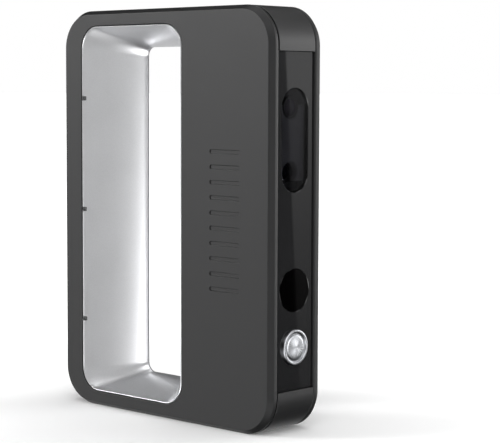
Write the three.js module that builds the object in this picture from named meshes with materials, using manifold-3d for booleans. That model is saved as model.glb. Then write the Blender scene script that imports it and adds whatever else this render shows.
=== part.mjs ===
// Handheld depth scanner: a flat upright body with a finger opening behind its sensor column.
// Millimetres. +Z up, the sensor window faces -Y, the handle is at +Y, X is the thickness.
// The origin is the centre of the base, so the part stands on z = 0.
import * as THREE from 'three';
import { mergeVertices } from 'three/addons/utils/BufferGeometryUtils.js';
import Module from 'manifold-3d';

const wasm = await Module();
wasm.setup();

// ---------------------------------------------------------------- driving dimensions
// Overall shell
const THICKNESS = 31.6;
const DEPTH = 129;
const HEIGHT = 178;
const CORNER_RADIUS = 16.6;
const CHAMFER_INSET = 1.75;
const CHAMFER_DEPTH = 2.5;
const EDGE_SOFTENING = 0.4;
const COVER_RIM_DEPTH = 4.74;
const WALL = 2.2;
const SEAM_GAP = 0.25;
const OPENING_EDGE_EASE = 0.15;

// Finger opening, measured at the big faces
const OPENING_FRONT_RIM = 52;
const OPENING_HANDLE_RIM = 12.3;
const OPENING_END_RIM = 6.7;
const OPENING_RADIUS = 10.5;
const OPENING_FLANGE = 1.6;
const OPENING_FLANGE_DEPTH = 3.6;

// Silver liner: how far each side leans in from a big face to the crest at mid thickness
const LINER_GAP = 0.25;
const LINER_LIP = 0.6;
const LINER_LIP_DROP = 0.05;
const HANDLE_FLARE = 27.2;
const END_FLARE = 9.5;
const SENSOR_FLARE = 7;
const CREST_RADIUS = 4.2;
const FLARE_POWER = 1.34;
const LINER_WALL = 2;
const LINER_BACK_SETBACK = 1.3;
const CREST_GAP = 0.15;
const LINER_STEPS = 8;

// Liner clips, seen as dark notches beside the handle
const CLIP_COUNT = 3;
const CLIP_PITCH = 50;
const CLIP_WIDTH = 1.7;
const CLIP_INSET = 0.2;
const CLIP_REACH = 1.7;
const CLIP_DEPTH = 3;
const CLIP_SINK = 0.8;
const CLIP_FIT = 0.1;

// Front window
const WINDOW_BOTTOM = 18.6;
const WINDOW_TOP_RIM = 18.9;
const WINDOW_CORNER = 0.5;
const WINDOW_SINK = 1.3;
const WINDOW_THICKNESS = 2;
const WINDOW_GAP = 0.15;
const GASKET_THICKNESS = 0.4;
const FRONT_PLATE = 2;
const PLATE_OPENING_ABOVE_INFRARED = 12;
const PLATE_OPENING_BELOW_PROJECTOR = 13.9;
const PLATE_OPENING_MARGIN = 0.65;
const PLATE_OPENING_CORNER = 2;
const GASKET_SETBACK = 0.4;

// Optics, all on the plane x = 0
const INFRARED_FROM_TOP = 42.05;
const INFRARED_TO_COLOUR = 26.9;
const INFRARED_TO_PROJECTOR = 75.55;
const CAMERA_SLOT_RADIUS = 8.05;
const PROJECTOR_WINDOW_RADIUS = 9.1;
const CAMERA_GLASS_THICKNESS = 0.8;
const CAMERA_GLASS_SINK = 0.25;
const BEZEL_TOP_ABOVE_INFRARED = 1.05;
const BEZEL_BOTTOM_BELOW_COLOUR = 3.5;
const BEZEL_THICKNESS = 3;
const BEZEL_SINK = 3.9;
const BEZEL_MARGIN = 0.3;
const INFRARED_BARREL_RADIUS = 4.65;
const INFRARED_GLASS_RADIUS = 3.6;
const INFRARED_BARREL_LENGTH = 7.9;
const INFRARED_BARREL_PROUD = 0.3;
const COLOUR_HOLE_RADIUS = 4.4;
const COLOUR_BARREL_RADIUS = 4;
const COLOUR_GLASS_RADIUS = 2.9;
const COLOUR_BARREL_LENGTH = 5;
const COLOUR_BARREL_SETBACK = 0.1;
const PROJECTOR_BARREL_RADIUS = 6.2;
const PROJECTOR_GLASS_RADIUS = 4.8;
const PROJECTOR_BARREL_LENGTH = 9;
const PROJECTOR_BARREL_PROUD = 0.2;
const LENS_FIT = 0.2;
const GLASS_FIT = 0.1;
const GLASS_SEAT_DEPTH = 1.8;
const GLASS_CROWN_DROP = 0.35;
const GLASS_CROWN_HEIGHT = 0.6;
const LIGHT_PATH_SHARE = 0.55;
const CHIP_FIT = 0.3;
const HOUSING_GAP = 0.2;
const HOUSING_DEPTH = 7.2;
const HOUSING_HALF_WIDTH = 7.6;
const SENSOR_CHIP = 6;
const SENSOR_CHIP_THICKNESS = 1;

// Badge
const BADGE_RADIUS = 7.5;
const BADGE_BELOW_PROJECTOR = 23.8;
const BADGE_RING = 1.3;
const BADGE_EDGE = 0.3;
const BADGE_DISH = 0.5;
const BADGE_DOME_DROP = 0.1;

// Debossed bars on the left face
const BAR_COUNT = 10;
const BAR_WIDTH = 1.7;
const BAR_LENGTH = 17.6;
const BAR_DEPTH = 0.45;
const BARS_FROM_FRONT = 26.3;
const BARS_BELOW_MIDDLE = 0.5;
const BARS_SPAN = 59.4;

// Bench that carries the optics
const BENCH_THICKNESS = 2.5;
const BENCH_HALF_WIDTH = 9.5;
const BENCH_BELOW_PROJECTOR = 22.4;
const BENCH_ABOVE_INFRARED = 21;
const BENCH_CORNER = 2;
const RIBBON_SLOT_HALF_WIDTH = 4;
const RIBBON_SLOT_HALF_HEIGHT = 1;
const BENCH_SCREW_X = 6;
const BENCH_SCREW_INSET = 4.5;
const BENCH_BOSS_RADIUS = 2.4;
const BENCH_GAP = 0.1;

// Main board
const BOARD_THICKNESS = 1.2;
const BOARD_X = 3;
const BOARD_FRONT_GAP = 1.6;
const BOARD_DEPTH = 27;
const BOARD_BELOW_PROJECTOR = 26.4;
const BOARD_ABOVE_INFRARED = 6;
const BOARD_HOLE_INSET = 3.2;
const STANDOFF_RADIUS = 2.6;
const PROCESSOR_RISE = 8;
const PROCESSOR = [1.6, 14, 14];
const MEMORY = [1.1, 9, 11];
const MEMORY_ABOVE_PROCESSOR = 16;
const FLASH = [0.9, 5, 6];
const FLASH_BELOW_PROCESSOR = 15;
const FLASH_OFFSET_Y = 6;
const SENSOR_CONNECTOR = [2, 3.6, 18];
const SENSOR_CONNECTOR_INSET = 2.6;
const SENSOR_CONNECTOR_RISE = 2;
const CABLE_HEADER = [5, 12, 5.5];
const CABLE_HEADER_RISE = 9;
const SHIELD_CAN = [2.6, 17, 18];
const SHIELD_CAN_DROP = 16;
const SHIELD_SHEET = 0.5;
const THERMAL_PAD = 1;
const THERMAL_PAD_HALF = 6.5;
const SPREADER = 1.5;
const SPREADER_HALF = 24;
const SPREADER_FOOT = 7;
const SPREADER_BACK_INSET = 5;

// Fasteners
const M2_SHANK = 0.85;
const M2_HEAD = 1.9;
const M2_HEAD_HEIGHT = 1.3;
const M2_LENGTH = 6;
const M25_SHANK = 1.15;
const M25_HEAD = 2.3;
const M25_HEAD_HEIGHT = 1.7;
const M25_LENGTH = 7;
const SHANK_CLEARANCE = 0.12;
const HEAD_GAP = 0.1;
const SOCKET_SHARE = 0.4;
const SOCKET_DEPTH_SHARE = 0.45;

// Cover bosses, level with the frame's web
const WEB_HALF = 1.25;
const WEB_TO_LINER = 0.5;
const COVER_BOSS_RADIUS = 3;
const BOSS_GAP = 0.15;
const BOSS_TO_BACK_WALL = 1;
const BOSS_FROM_COMPARTMENT_END = 22;
const BOSS_SHARES = [0.2, 0.5, 0.8];
const BOSS_PAD_MARGIN = 1;
const BOSS_TIE_HALF = 3;
const COMPARTMENT_END_RIM = 12.5;
const COMPARTMENT_TO_LINER = 3;
const WEB_CUT_AHEAD = 4;
const PLATE_ROOT = 0.9;
const PLATE_END_OVERLAP = 0.5;

// Cable gland in the back wall and tripod insert in the base
const GLAND_Z = 27;
const GLAND_FLANGE_RADIUS = 5.4;
const GLAND_FLANGE_THICKNESS = 1.1;
const GLAND_BODY_RADIUS = 4.1;
const GLAND_BORE_RADIUS = 2.3;
const GLAND_LENGTH = 6;
const GLAND_FIT = 0.12;
const GLAND_TAIL_ROOM = 4;
const INSERT_FROM_FRONT = 34.5;
const INSERT_RADIUS = 4.6;
const INSERT_BORE_RADIUS = 2.55;
const INSERT_LENGTH = 9;
const INSERT_BORE_DEPTH = 7.8;
const INSERT_FLOOR = 1.5;
const INSERT_WALL = 2.4;
const INSERT_FIT = 0.1;
const INSERT_RECESS = 0.2;

// Facets
const CORNER_STEPS = 6;
const ROUND = 20;
const SMALL_ROUND = 10;
const WINDOW_ROUND = 32;
const PLATE_CORNER = 3;
const BORE_ROUND = 24;
const TINY = 0.02;
const THROUGH = 1;

// ---------------------------------------------------------------- derived places
const HALF_T = THICKNESS / 2;
const HALF_D = DEPTH / 2;
const SEAM_X = HALF_T - COVER_RIM_DEPTH;
const FRAME_HALF = SEAM_X - SEAM_GAP / 2;
const COVER_SEAM = SEAM_X + SEAM_GAP / 2;
const OPENING = {
  y0: -HALF_D + OPENING_FRONT_RIM,
  y1: HALF_D - OPENING_HANDLE_RIM,
  z0: OPENING_END_RIM,
  z1: HEIGHT - OPENING_END_RIM,
  r: OPENING_RADIUS,
};
const SHELL = { y0: -HALF_D, y1: HALF_D, z0: 0, z1: HEIGHT, r: CORNER_RADIUS };
const WINDOW_TOP = HEIGHT - WINDOW_TOP_RIM;
const INFRARED_Z = HEIGHT - INFRARED_FROM_TOP;
const COLOUR_Z = INFRARED_Z - INFRARED_TO_COLOUR;
const PROJECTOR_Z = INFRARED_Z - INFRARED_TO_PROJECTOR;
const BADGE_Z = PROJECTOR_Z - BADGE_BELOW_PROJECTOR;
const PLATE_OPENING = {
  half: CAMERA_SLOT_RADIUS + PLATE_OPENING_MARGIN,
  low: PROJECTOR_Z - PLATE_OPENING_BELOW_PROJECTOR,
  high: INFRARED_Z + PLATE_OPENING_ABOVE_INFRARED,
};
const BENCH_BOTTOM = PROJECTOR_Z - BENCH_BELOW_PROJECTOR;
const BENCH_TOP = INFRARED_Z + BENCH_ABOVE_INFRARED;
const BOARD_BOTTOM = PROJECTOR_Z - BOARD_BELOW_PROJECTOR;
const BOARD_TOP = INFRARED_Z + BOARD_ABOVE_INFRARED;
const BAR_CENTRE_Y = -HALF_D + BARS_FROM_FRONT;
const BARS_MIDDLE = HEIGHT / 2 - BARS_BELOW_MIDDLE;
const INSERT_Y = -HALF_D + INSERT_FROM_FRONT;
const WINDOW_Y = -HALF_D + WINDOW_SINK;
const WINDOW_BACK_Y = WINDOW_Y + WINDOW_THICKNESS;
const PLATE_Y = WINDOW_BACK_Y + GASKET_THICKNESS;
const PLATE_BACK_Y = PLATE_Y + FRONT_PLATE;
const BEZEL_Y = -HALF_D + BEZEL_SINK;
const HOUSING_Y = BEZEL_Y + BEZEL_THICKNESS + HOUSING_GAP;
const BENCH_Y = HOUSING_Y + HOUSING_DEPTH + BENCH_GAP;
const BENCH_BACK_Y = BENCH_Y + BENCH_THICKNESS;
const BOARD_Y0 = BENCH_BACK_Y + BOARD_FRONT_GAP;
const BOARD_Y1 = BOARD_Y0 + BOARD_DEPTH;
const COMPARTMENT = {
  y0: PLATE_BACK_Y,
  y1: OPENING.y0 - LINER_WALL - COMPARTMENT_TO_LINER,
  z0: COMPARTMENT_END_RIM,
  z1: HEIGHT - COMPARTMENT_END_RIM,
};

// ---------------------------------------------------------------- finishes
const finish = (color, roughness, metalness = 0) => () =>
  new THREE.MeshStandardMaterial({ color, roughness, metalness });
const coverBlack = finish(0x37373a, 0.62);
const frameBlack = finish(0x333336, 0.6);
const linerSilver = finish(0xc4c5c8, 0.35, 0.6);
const windowBlack = finish(0x141416, 0.08);
const filterBlack = finish(0x050506, 0.1);
const clearGlass = finish(0x20202a, 0.04);
const coatedGlass = finish(0x2a1838, 0.05);
const opticBlack = finish(0x101012, 0.5);
const polishedSilver = finish(0xd8dadd, 0.15, 1);
const aluminium = finish(0xa9acb0, 0.4, 1);
const boardGreen = finish(0x14532d, 0.5);
const chipBlack = finish(0x18181a, 0.45);
const shieldTin = finish(0xb9bcc0, 0.3, 1);
const screwSteel = finish(0x8f9296, 0.35, 1);
const insertBrass = finish(0xb5893a, 0.35, 1);
const rubberBlack = finish(0x1b1b1c, 0.85);
const foamGrey = finish(0x4a4c50, 0.95);
const connectorWhite = finish(0xe8e4d8, 0.6);

// ---------------------------------------------------------------- outlines and solids

/** Rounded rectangle in the YZ plane as [y, z] points, anticlockwise seen from +X. */
function outline({ y0, y1, z0, z1, r }, inset = 0) {
  const radius = Math.max(r - inset, 0.4);
  const left = y0 + inset + radius;
  const right = y1 - inset - radius;
  const low = z0 + inset + radius;
  const high = z1 - inset - radius;
  const centres = [[right, low, -90], [right, high, 0], [left, high, 90], [left, low, 180]];
  const points = [];
  for (const [y, z, start] of centres) {
    for (let i = 0; i <= CORNER_STEPS; i += 1) {
      const angle = THREE.MathUtils.degToRad(start + (90 * i) / CORNER_STEPS);
      points.push([y + radius * Math.cos(angle), z + radius * Math.sin(angle)]);
    }
  }
  return points;
}

/** Closed ring through stations of { x, points }, the last joined back to the first. */
function ringSolid(stations) {
  const count = stations[0].points.length;
  const positions = [];
  const indices = [];
  for (const { x, points } of stations) {
    for (const [y, z] of points) {
      positions.push(x, y, z);
    }
  }
  stations.forEach((_, s) => {
    const next = (s + 1) % stations.length;
    for (let i = 0; i < count; i += 1) {
      const j = (i + 1) % count;
      const a = s * count + i;
      const b = s * count + j;
      const c = next * count + i;
      const d = next * count + j;
      indices.push(a, b, c, b, d, c);
    }
  });
  const geometry = new THREE.BufferGeometry();
  geometry.setAttribute('position', new THREE.Float32BufferAttribute(positions, 3));
  geometry.setIndex(indices);
  return solid(geometry);
}

/** Turn a closed three.js geometry into a manifold solid. */
function solid(geometry) {
  const bare = geometry.clone();
  bare.deleteAttribute('normal');
  bare.deleteAttribute('uv');
  const merged = mergeVertices(bare, 1e-5);
  return new wasm.Manifold(new wasm.Mesh({
    numProp: 3,
    vertProperties: new Float32Array(merged.attributes.position.array),
    triVerts: new Uint32Array(merged.index.array),
  }));
}

/** Named mesh of a manifold solid. */
function piece(name, body, material) {
  const mesh = body.getMesh();
  const geometry = new THREE.BufferGeometry();
  geometry.setAttribute('position', new THREE.Float32BufferAttribute(mesh.vertProperties, 3));
  geometry.setIndex(new THREE.Uint32BufferAttribute(mesh.triVerts, 1));
  geometry.computeVertexNormals();
  const node = new THREE.Mesh(geometry, material());
  node.name = name;
  return node;
}

/** Box between two corners. */
function box([x0, y0, z0], [x1, y1, z1]) {
  const geometry = new THREE.BoxGeometry(x1 - x0, y1 - y0, z1 - z0);
  geometry.translate((x0 + x1) / 2, (y0 + y1) / 2, (z0 + z1) / 2);
  return solid(geometry);
}

/** Cylinder along 'x', 'y' or 'z', from one end to the other, centred on the other two values. */
function rod(axis, radius, from, to, [a, b], facets = ROUND) {
  const geometry = new THREE.CylinderGeometry(radius, radius, to - from, facets);
  const middle = (from + to) / 2;
  if (axis === 'x') {
    geometry.rotateZ(-Math.PI / 2);
    geometry.translate(middle, a, b);
  } else if (axis === 'y') {
    geometry.translate(a, middle, b);
  } else {
    geometry.rotateX(Math.PI / 2);
    geometry.translate(a, b, middle);
  }
  return solid(geometry);
}

/** Turned body about the Y axis from [radius, y] points that start and end on the axis. */
function turnedY(profile, z, facets = WINDOW_ROUND) {
  const points = profile.map(([radius, y]) => new THREE.Vector2(radius, y));
  const geometry = new THREE.LatheGeometry(points, facets);
  geometry.translate(0, 0, z);
  return solid(geometry);
}

/** Prism along Y of an outline drawn in X and Z. */
function prismY(shape, y0, y1, curveSegments = PLATE_CORNER) {
  const geometry = new THREE.ExtrudeGeometry(shape, {
    depth: y1 - y0,
    bevelEnabled: false,
    curveSegments,
  });
  geometry.rotateX(Math.PI / 2);
  geometry.translate(0, y1, 0);
  return solid(geometry);
}

/** Upright slot outline in X and Z with round ends centred at the two heights. */
function slotShape(radius, low, high) {
  const shape = new THREE.Shape();
  shape.absarc(0, high, radius, 0, Math.PI, false);
  shape.absarc(0, low, radius, Math.PI, 2 * Math.PI, false);
  shape.closePath();
  return shape;
}

/** Rounded rectangle outline in X and Z. */
function plateShape(halfWidth, low, high, radius) {
  const shape = new THREE.Shape();
  shape.absarc(halfWidth - radius, high - radius, radius, 0, Math.PI / 2, false);
  shape.absarc(-halfWidth + radius, high - radius, radius, Math.PI / 2, Math.PI, false);
  shape.absarc(-halfWidth + radius, low + radius, radius, Math.PI, 1.5 * Math.PI, false);
  shape.absarc(halfWidth - radius, low + radius, radius, 1.5 * Math.PI, 2 * Math.PI, false);
  shape.closePath();
  return shape;
}

// ---------------------------------------------------------------- covers

/** Blank of one cover on the -X side: face, softened chamfer, rim wall and opening flange. */
function coverBlank() {
  const face = -HALF_T;
  const inner = face + WALL;
  const flange = face + OPENING_FLANGE_DEPTH;
  const soft = EDGE_SOFTENING;
  return ringSolid([
    { x: face, points: outline(OPENING, -OPENING_EDGE_EASE) },
    { x: face, points: outline(SHELL, CHAMFER_INSET) },
    { x: face + CHAMFER_DEPTH - soft, points: outline(SHELL, (soft * CHAMFER_INSET) / CHAMFER_DEPTH) },
    { x: face + CHAMFER_DEPTH + soft, points: outline(SHELL) },
    { x: -COVER_SEAM - soft / 2, points: outline(SHELL) },
    { x: -COVER_SEAM, points: outline(SHELL, soft / 2) },
    { x: -COVER_SEAM, points: outline(SHELL, WALL) },
    { x: inner, points: outline(SHELL, WALL) },
    { x: inner, points: outline(OPENING, -OPENING_FLANGE) },
    { x: flange, points: outline(OPENING, -OPENING_FLANGE) },
    { x: flange, points: outline(OPENING) },
    { x: face + OPENING_EDGE_EASE, points: outline(OPENING) },
  ]);
}

/** Mirror a solid to the other side of the plane x = 0. */
const mirrored = (body) => body.mirror([1, 0, 0]);

/** Heights and depths of the bosses that tie the left cover to the frame's web. */
function coverBossPlaces() {
  const handleY = HALF_D - WALL - COVER_BOSS_RADIUS - BOSS_TO_BACK_WALL;
  const frontY = OPENING.y0 - COVER_BOSS_RADIUS - LINER_GAP * 2;
  return [
    ...BOSS_SHARES.map((share) => [handleY, HEIGHT * share]),
    [frontY, COMPARTMENT.z0 + BOSS_FROM_COMPARTMENT_END],
    [frontY, HEIGHT / 2],
    [frontY, COMPARTMENT.z1 - BOSS_FROM_COMPARTMENT_END],
  ];
}

/** Debossed bars, evenly spaced up the face. */
function debossBars(body) {
  const pitch = (BARS_SPAN - BAR_WIDTH) / (BAR_COUNT - 1);
  let cut = body;
  for (let i = 0; i < BAR_COUNT; i += 1) {
    const z = BARS_MIDDLE + pitch * (i - (BAR_COUNT - 1) / 2);
    const half = (BAR_LENGTH - BAR_WIDTH) / 2;
    const from = -HALF_T - THROUGH;
    const to = -HALF_T + BAR_DEPTH;
    const radius = BAR_WIDTH / 2;
    const low = [from, BAR_CENTRE_Y - half, z - radius];
    const high = [to, BAR_CENTRE_Y + half, z + radius];
    const ends = [BAR_CENTRE_Y - half, BAR_CENTRE_Y + half];
    const rounds = ends.map((y) => rod('x', radius, from, to, [y, z], SMALL_ROUND));
    cut = cut.subtract(wasm.Manifold.union([box(low, high), ...rounds]));
  }
  return cut;
}

function leftCover() {
  const top = -WEB_HALF - BOSS_GAP;
  const root = -HALF_T + WALL - TINY;
  let body = debossBars(coverBlank());
  for (const place of coverBossPlaces()) {
    const boss = rod('x', COVER_BOSS_RADIUS, root, top, place, ROUND);
    const bore = rod('x', M25_SHANK + SHANK_CLEARANCE, top - M25_LENGTH, top + THROUGH, place, SMALL_ROUND);
    body = body.add(boss).subtract(bore);
  }
  return piece('left_cover', body, coverBlack);
}

/** The four holes of the main board, as [y, z]. */
function boardHoles() {
  const ys = [BOARD_Y0 + BOARD_HOLE_INSET, BOARD_Y1 - BOARD_HOLE_INSET];
  const zs = [BOARD_BOTTOM + BOARD_HOLE_INSET, BOARD_TOP - BOARD_HOLE_INSET];
  return ys.flatMap((y) => zs.map((z) => [y, z]));
}

function rightCover() {
  let body = mirrored(coverBlank());
  const tip = BOARD_X + BOARD_THICKNESS + HEAD_GAP;
  for (const place of boardHoles()) {
    const post = rod('x', STANDOFF_RADIUS, tip, HALF_T - WALL + TINY, place, ROUND);
    const bore = rod('x', M2_SHANK + SHANK_CLEARANCE, tip - THROUGH, tip + M2_LENGTH, place, SMALL_ROUND);
    body = body.add(post).subtract(bore);
  }
  return piece('right_cover', body, coverBlack);
}

// ---------------------------------------------------------------- liner

/** Share of the full lean-in at a share of the way from a big face to the crest. */
const lean = (share) => 1 - (1 - share) ** FLARE_POWER;

/** Opening outline after leaning in by a share of each side's flare, then offset outwards. */
function leaningOutline(share, outwards = 0) {
  const start = LINER_GAP + LINER_LIP;
  const f = lean(share);
  const end = start + (END_FLARE - start) * f;
  return outline({
    y0: OPENING.y0 + start + (SENSOR_FLARE - start) * f - outwards,
    y1: OPENING.y1 - start - (HANDLE_FLARE - start) * f + outwards,
    z0: OPENING.z0 + end - outwards,
    z1: OPENING.z1 - end + outwards,
    r: THREE.MathUtils.lerp(OPENING.r - start, CREST_RADIUS, f) + outwards,
  });
}

/** One half of the liner, from the -X face to its crest just short of x = 0. */
function linerBlank() {
  const lipX = -HALF_T + LINER_LIP_DROP;
  const startX = lipX + LINER_LIP / 2;
  const length = -CREST_GAP - startX;
  const shares = Array.from({ length: LINER_STEPS + 1 }, (_, i) => i / LINER_STEPS);
  const visible = shares.map((share) => ({
    x: startX + length * share,
    points: leaningOutline(share),
  }));
  const setback = (share) => LINER_BACK_SETBACK * (share > 0 ? 1 - share : LINER_LIP);
  const hidden = shares.map((share) => ({
    x: startX + length * share + setback(share),
    points: leaningOutline(share, LINER_LIP + (LINER_WALL - LINER_LIP) * share),
  }));
  const lip = [
    { x: startX, points: outline(OPENING, LINER_GAP) },
    { x: lipX + LINER_LIP / 8, points: outline(OPENING, LINER_GAP + LINER_LIP / 5) },
    { x: lipX, points: outline(OPENING, LINER_GAP + LINER_LIP / 2) },
    { x: lipX + LINER_LIP / 8, points: outline(OPENING, LINER_GAP + (LINER_LIP * 4) / 5) },
  ];
  return ringSolid([...lip, ...visible, ...hidden.reverse()].reverse());
}

/** Heights of the clips. */
const clipHeights = Array.from({ length: CLIP_COUNT }, (_, i) =>
  HEIGHT / 2 + CLIP_PITCH * (i - (CLIP_COUNT - 1) / 2));

/** Box of one clip in the liner's handle side, from a depth below the face, grown by a margin. */
function clipBox(z, sink, margin) {
  const y1 = OPENING.y1 - LINER_GAP - CLIP_INSET;
  const half = CLIP_WIDTH / 2;
  return box(
    [-HALF_T + sink, y1 - CLIP_REACH - margin, z - half - margin],
    [-HALF_T + CLIP_DEPTH + margin, y1 + margin, z + half + margin]);
}

function liner(side) {
  let body = linerBlank();
  for (const z of clipHeights) {
    body = body.subtract(clipBox(z, -THROUGH, CLIP_FIT));
  }
  return piece(`${side}_liner`, side === 'left' ? body : mirrored(body), linerSilver);
}

/** Clip hooks that hold the liner, one node each. */
function linerClips(side) {
  return clipHeights.map((z, i) => {
    const body = clipBox(z, CLIP_SINK, 0);
    return piece(`${side}_liner_clip_${i + 1}`, side === 'left' ? body : mirrored(body), opticBlack);
  });
}

// ---------------------------------------------------------------- frame

/** Places of the four bench screws, as [x, z]. */
function benchScrewPlaces() {
  const zs = [BENCH_BOTTOM + BENCH_SCREW_INSET, BENCH_TOP - BENCH_SCREW_INSET];
  return zs.flatMap((z) => [[-BENCH_SCREW_X, z], [BENCH_SCREW_X, z]]);
}

/** Centre frame: the band between the covers, its mid web, the window ledge and the bosses. */
function centreFrame() {
  const ease = EDGE_SOFTENING / 2;
  const crest = leaningOutline(1 - (2 * WEB_HALF) / HALF_T, LINER_WALL + WEB_TO_LINER);
  let body = ringSolid([
    { x: -FRAME_HALF, points: outline(SHELL, ease) },
    { x: -FRAME_HALF + ease, points: outline(SHELL) },
    { x: FRAME_HALF - ease, points: outline(SHELL) },
    { x: FRAME_HALF, points: outline(SHELL, ease) },
    { x: FRAME_HALF, points: outline(SHELL, WALL) },
    { x: WEB_HALF, points: outline(SHELL, WALL) },
    { x: WEB_HALF, points: crest },
    { x: -WEB_HALF, points: crest },
    { x: -WEB_HALF, points: outline(SHELL, WALL) },
    { x: -FRAME_HALF, points: outline(SHELL, WALL) },
  ]);
  const { y0, y1, z0, z1 } = COMPARTMENT;
  body = body.subtract(box([-2 * WEB_HALF, y0 - WEB_CUT_AHEAD, z0], [2 * WEB_HALF, y1, z1]));
  body = body.add(box(
    [-FRAME_HALF, -HALF_D + WALL - PLATE_ROOT, z0 - PLATE_END_OVERLAP],
    [FRAME_HALF, y0, z1 + PLATE_END_OVERLAP]));
  body = body.subtract(box([-HALF_T, -DEPTH, WINDOW_BOTTOM], [HALF_T, PLATE_Y, WINDOW_TOP]));
  const { half, low, high } = PLATE_OPENING;
  const through = plateShape(half, low, high, PLATE_OPENING_CORNER);
  body = body.subtract(prismY(through, PLATE_Y - THROUGH, PLATE_BACK_Y + THROUGH));
  for (const place of benchScrewPlaces()) {
    const boss = rod('y', BENCH_BOSS_RADIUS, PLATE_BACK_Y - TINY, BENCH_Y - BENCH_GAP, place, ROUND);
    const tip = PLATE_BACK_Y + 1;
    const bore = rod('y', M2_SHANK + SHANK_CLEARANCE, tip, BENCH_Y + THROUGH, place, SMALL_ROUND);
    body = body.add(boss).subtract(bore);
  }
  for (const [y, z] of coverBossPlaces()) {
    const pad = rod('x', COVER_BOSS_RADIUS + BOSS_PAD_MARGIN, -WEB_HALF, WEB_HALF, [y, z], ROUND);
    const tie = box([-WEB_HALF, y, z - BOSS_TIE_HALF], [WEB_HALF, Math.max(y, y1 + 1), z + BOSS_TIE_HALF]);
    const hole = rod('x', M25_SHANK + SHANK_CLEARANCE, -WEB_HALF - 1, WEB_HALF + 1, [y, z], SMALL_ROUND);
    body = body.add(y < 0 ? pad.add(tie) : pad).subtract(hole);
  }
  body = body.subtract(glandSpace());
  return piece('centre_frame', tripodSeat(body), frameBlack);
}

/** Room for the cable gland through the back wall and the web behind it. */
function glandSpace() {
  const place = [0, GLAND_Z];
  const seat = HALF_D - GLAND_FLANGE_THICKNESS;
  const flange = rod('y', GLAND_FLANGE_RADIUS + GLAND_FIT, seat, HALF_D + THROUGH, place);
  const body = rod('y', GLAND_BODY_RADIUS + GLAND_FIT, HALF_D - WALL - 1, HALF_D, place);
  const tail = HALF_D - GLAND_LENGTH - GLAND_TAIL_ROOM;
  const behind = rod('y', GLAND_FLANGE_RADIUS, tail, HALF_D - WALL - TINY, place);
  return flange.add(body).add(behind);
}

/** Boss in the base for the tripod insert, added to the frame and bored. */
function tripodSeat(frame) {
  const place = [0, INSERT_Y];
  const top = INSERT_RECESS + INSERT_LENGTH + INSERT_FLOOR;
  const boss = rod('z', INSERT_RADIUS + INSERT_WALL, WALL - TINY, top, place);
  const boreEnd = INSERT_RECESS + INSERT_LENGTH + INSERT_FIT;
  const bore = rod('z', INSERT_RADIUS + INSERT_FIT, -THROUGH, boreEnd, place);
  return frame.add(boss).subtract(bore);
}

function tripodInsert() {
  const place = [0, INSERT_Y];
  const outer = rod('z', INSERT_RADIUS, INSERT_RECESS, INSERT_RECESS + INSERT_LENGTH, place);
  const bore = rod('z', INSERT_BORE_RADIUS, -THROUGH, INSERT_RECESS + INSERT_BORE_DEPTH, place, BORE_ROUND);
  return piece('tripod_insert', outer.subtract(bore), insertBrass);
}

function cableGland() {
  const flangeY = HALF_D - GLAND_FLANGE_THICKNESS + TINY;
  const place = [0, GLAND_Z];
  const flange = rod('y', GLAND_FLANGE_RADIUS, flangeY, HALF_D, place);
  const body = rod('y', GLAND_BODY_RADIUS, HALF_D - GLAND_LENGTH, flangeY + TINY, place);
  const tail = HALF_D - GLAND_LENGTH - THROUGH;
  const bore = rod('y', GLAND_BORE_RADIUS, tail, HALF_D + THROUGH, place, BORE_ROUND);
  return piece('cable_gland', flange.add(body).subtract(bore), rubberBlack);
}

// ---------------------------------------------------------------- front window

/** Outline of the window and its gasket, a gap inside the frame's recess. */
function windowOutline() {
  const half = FRAME_HALF - WINDOW_GAP;
  return plateShape(half, WINDOW_BOTTOM + WINDOW_GAP, WINDOW_TOP - WINDOW_GAP, WINDOW_CORNER);
}

function frontWindow() {
  const front = WINDOW_Y - THROUGH;
  const back = WINDOW_BACK_Y + THROUGH;
  const slot = prismY(slotShape(CAMERA_SLOT_RADIUS, COLOUR_Z, INFRARED_Z), front, back, WINDOW_ROUND / 2);
  const circle = rod('y', PROJECTOR_WINDOW_RADIUS, front, back, [0, PROJECTOR_Z], WINDOW_ROUND);
  const body = prismY(windowOutline(), WINDOW_Y, WINDOW_BACK_Y).subtract(slot).subtract(circle);
  return piece('front_window', body, windowBlack);
}

function windowGasket() {
  const { half, low, high } = PLATE_OPENING;
  const inner = plateShape(
    half + GASKET_SETBACK, low - GASKET_SETBACK, high + GASKET_SETBACK, PLATE_OPENING_CORNER);
  const body = prismY(windowOutline(), WINDOW_BACK_Y, PLATE_Y)
    .subtract(prismY(inner, WINDOW_BACK_Y - THROUGH, PLATE_Y + THROUGH));
  return piece('window_gasket', body, foamGrey);
}

function cameraGlass() {
  const y0 = WINDOW_Y + CAMERA_GLASS_SINK;
  const shape = slotShape(CAMERA_SLOT_RADIUS - WINDOW_GAP, COLOUR_Z, INFRARED_Z);
  return piece('camera_glass', prismY(shape, y0, y0 + CAMERA_GLASS_THICKNESS, WINDOW_ROUND / 2), clearGlass);
}

function projectorFilter() {
  const radius = PROJECTOR_WINDOW_RADIUS - WINDOW_GAP / 2;
  const body = rod('y', radius, WINDOW_Y, WINDOW_BACK_Y, [0, PROJECTOR_Z], WINDOW_ROUND);
  return piece('projector_filter', body, filterBlack);
}

/** Plain round medallion: a raised ring round a shallow dome. */
function badge() {
  const back = WINDOW_Y - TINY;
  const front = -HALF_D;
  const dish = front + BADGE_DISH;
  const dome = front + BADGE_DOME_DROP;
  const ringInner = BADGE_RADIUS - BADGE_RING;
  return piece('badge', turnedY([
    [0, dome],
    [ringInner / 2, dome + (dish - dome) / 4],
    [ringInner, dish],
    [ringInner + BADGE_EDGE, front],
    [BADGE_RADIUS - BADGE_EDGE, front],
    [BADGE_RADIUS, front + BADGE_EDGE],
    [BADGE_RADIUS, back],
    [0, back],
  ], BADGE_Z), polishedSilver);
}

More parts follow.
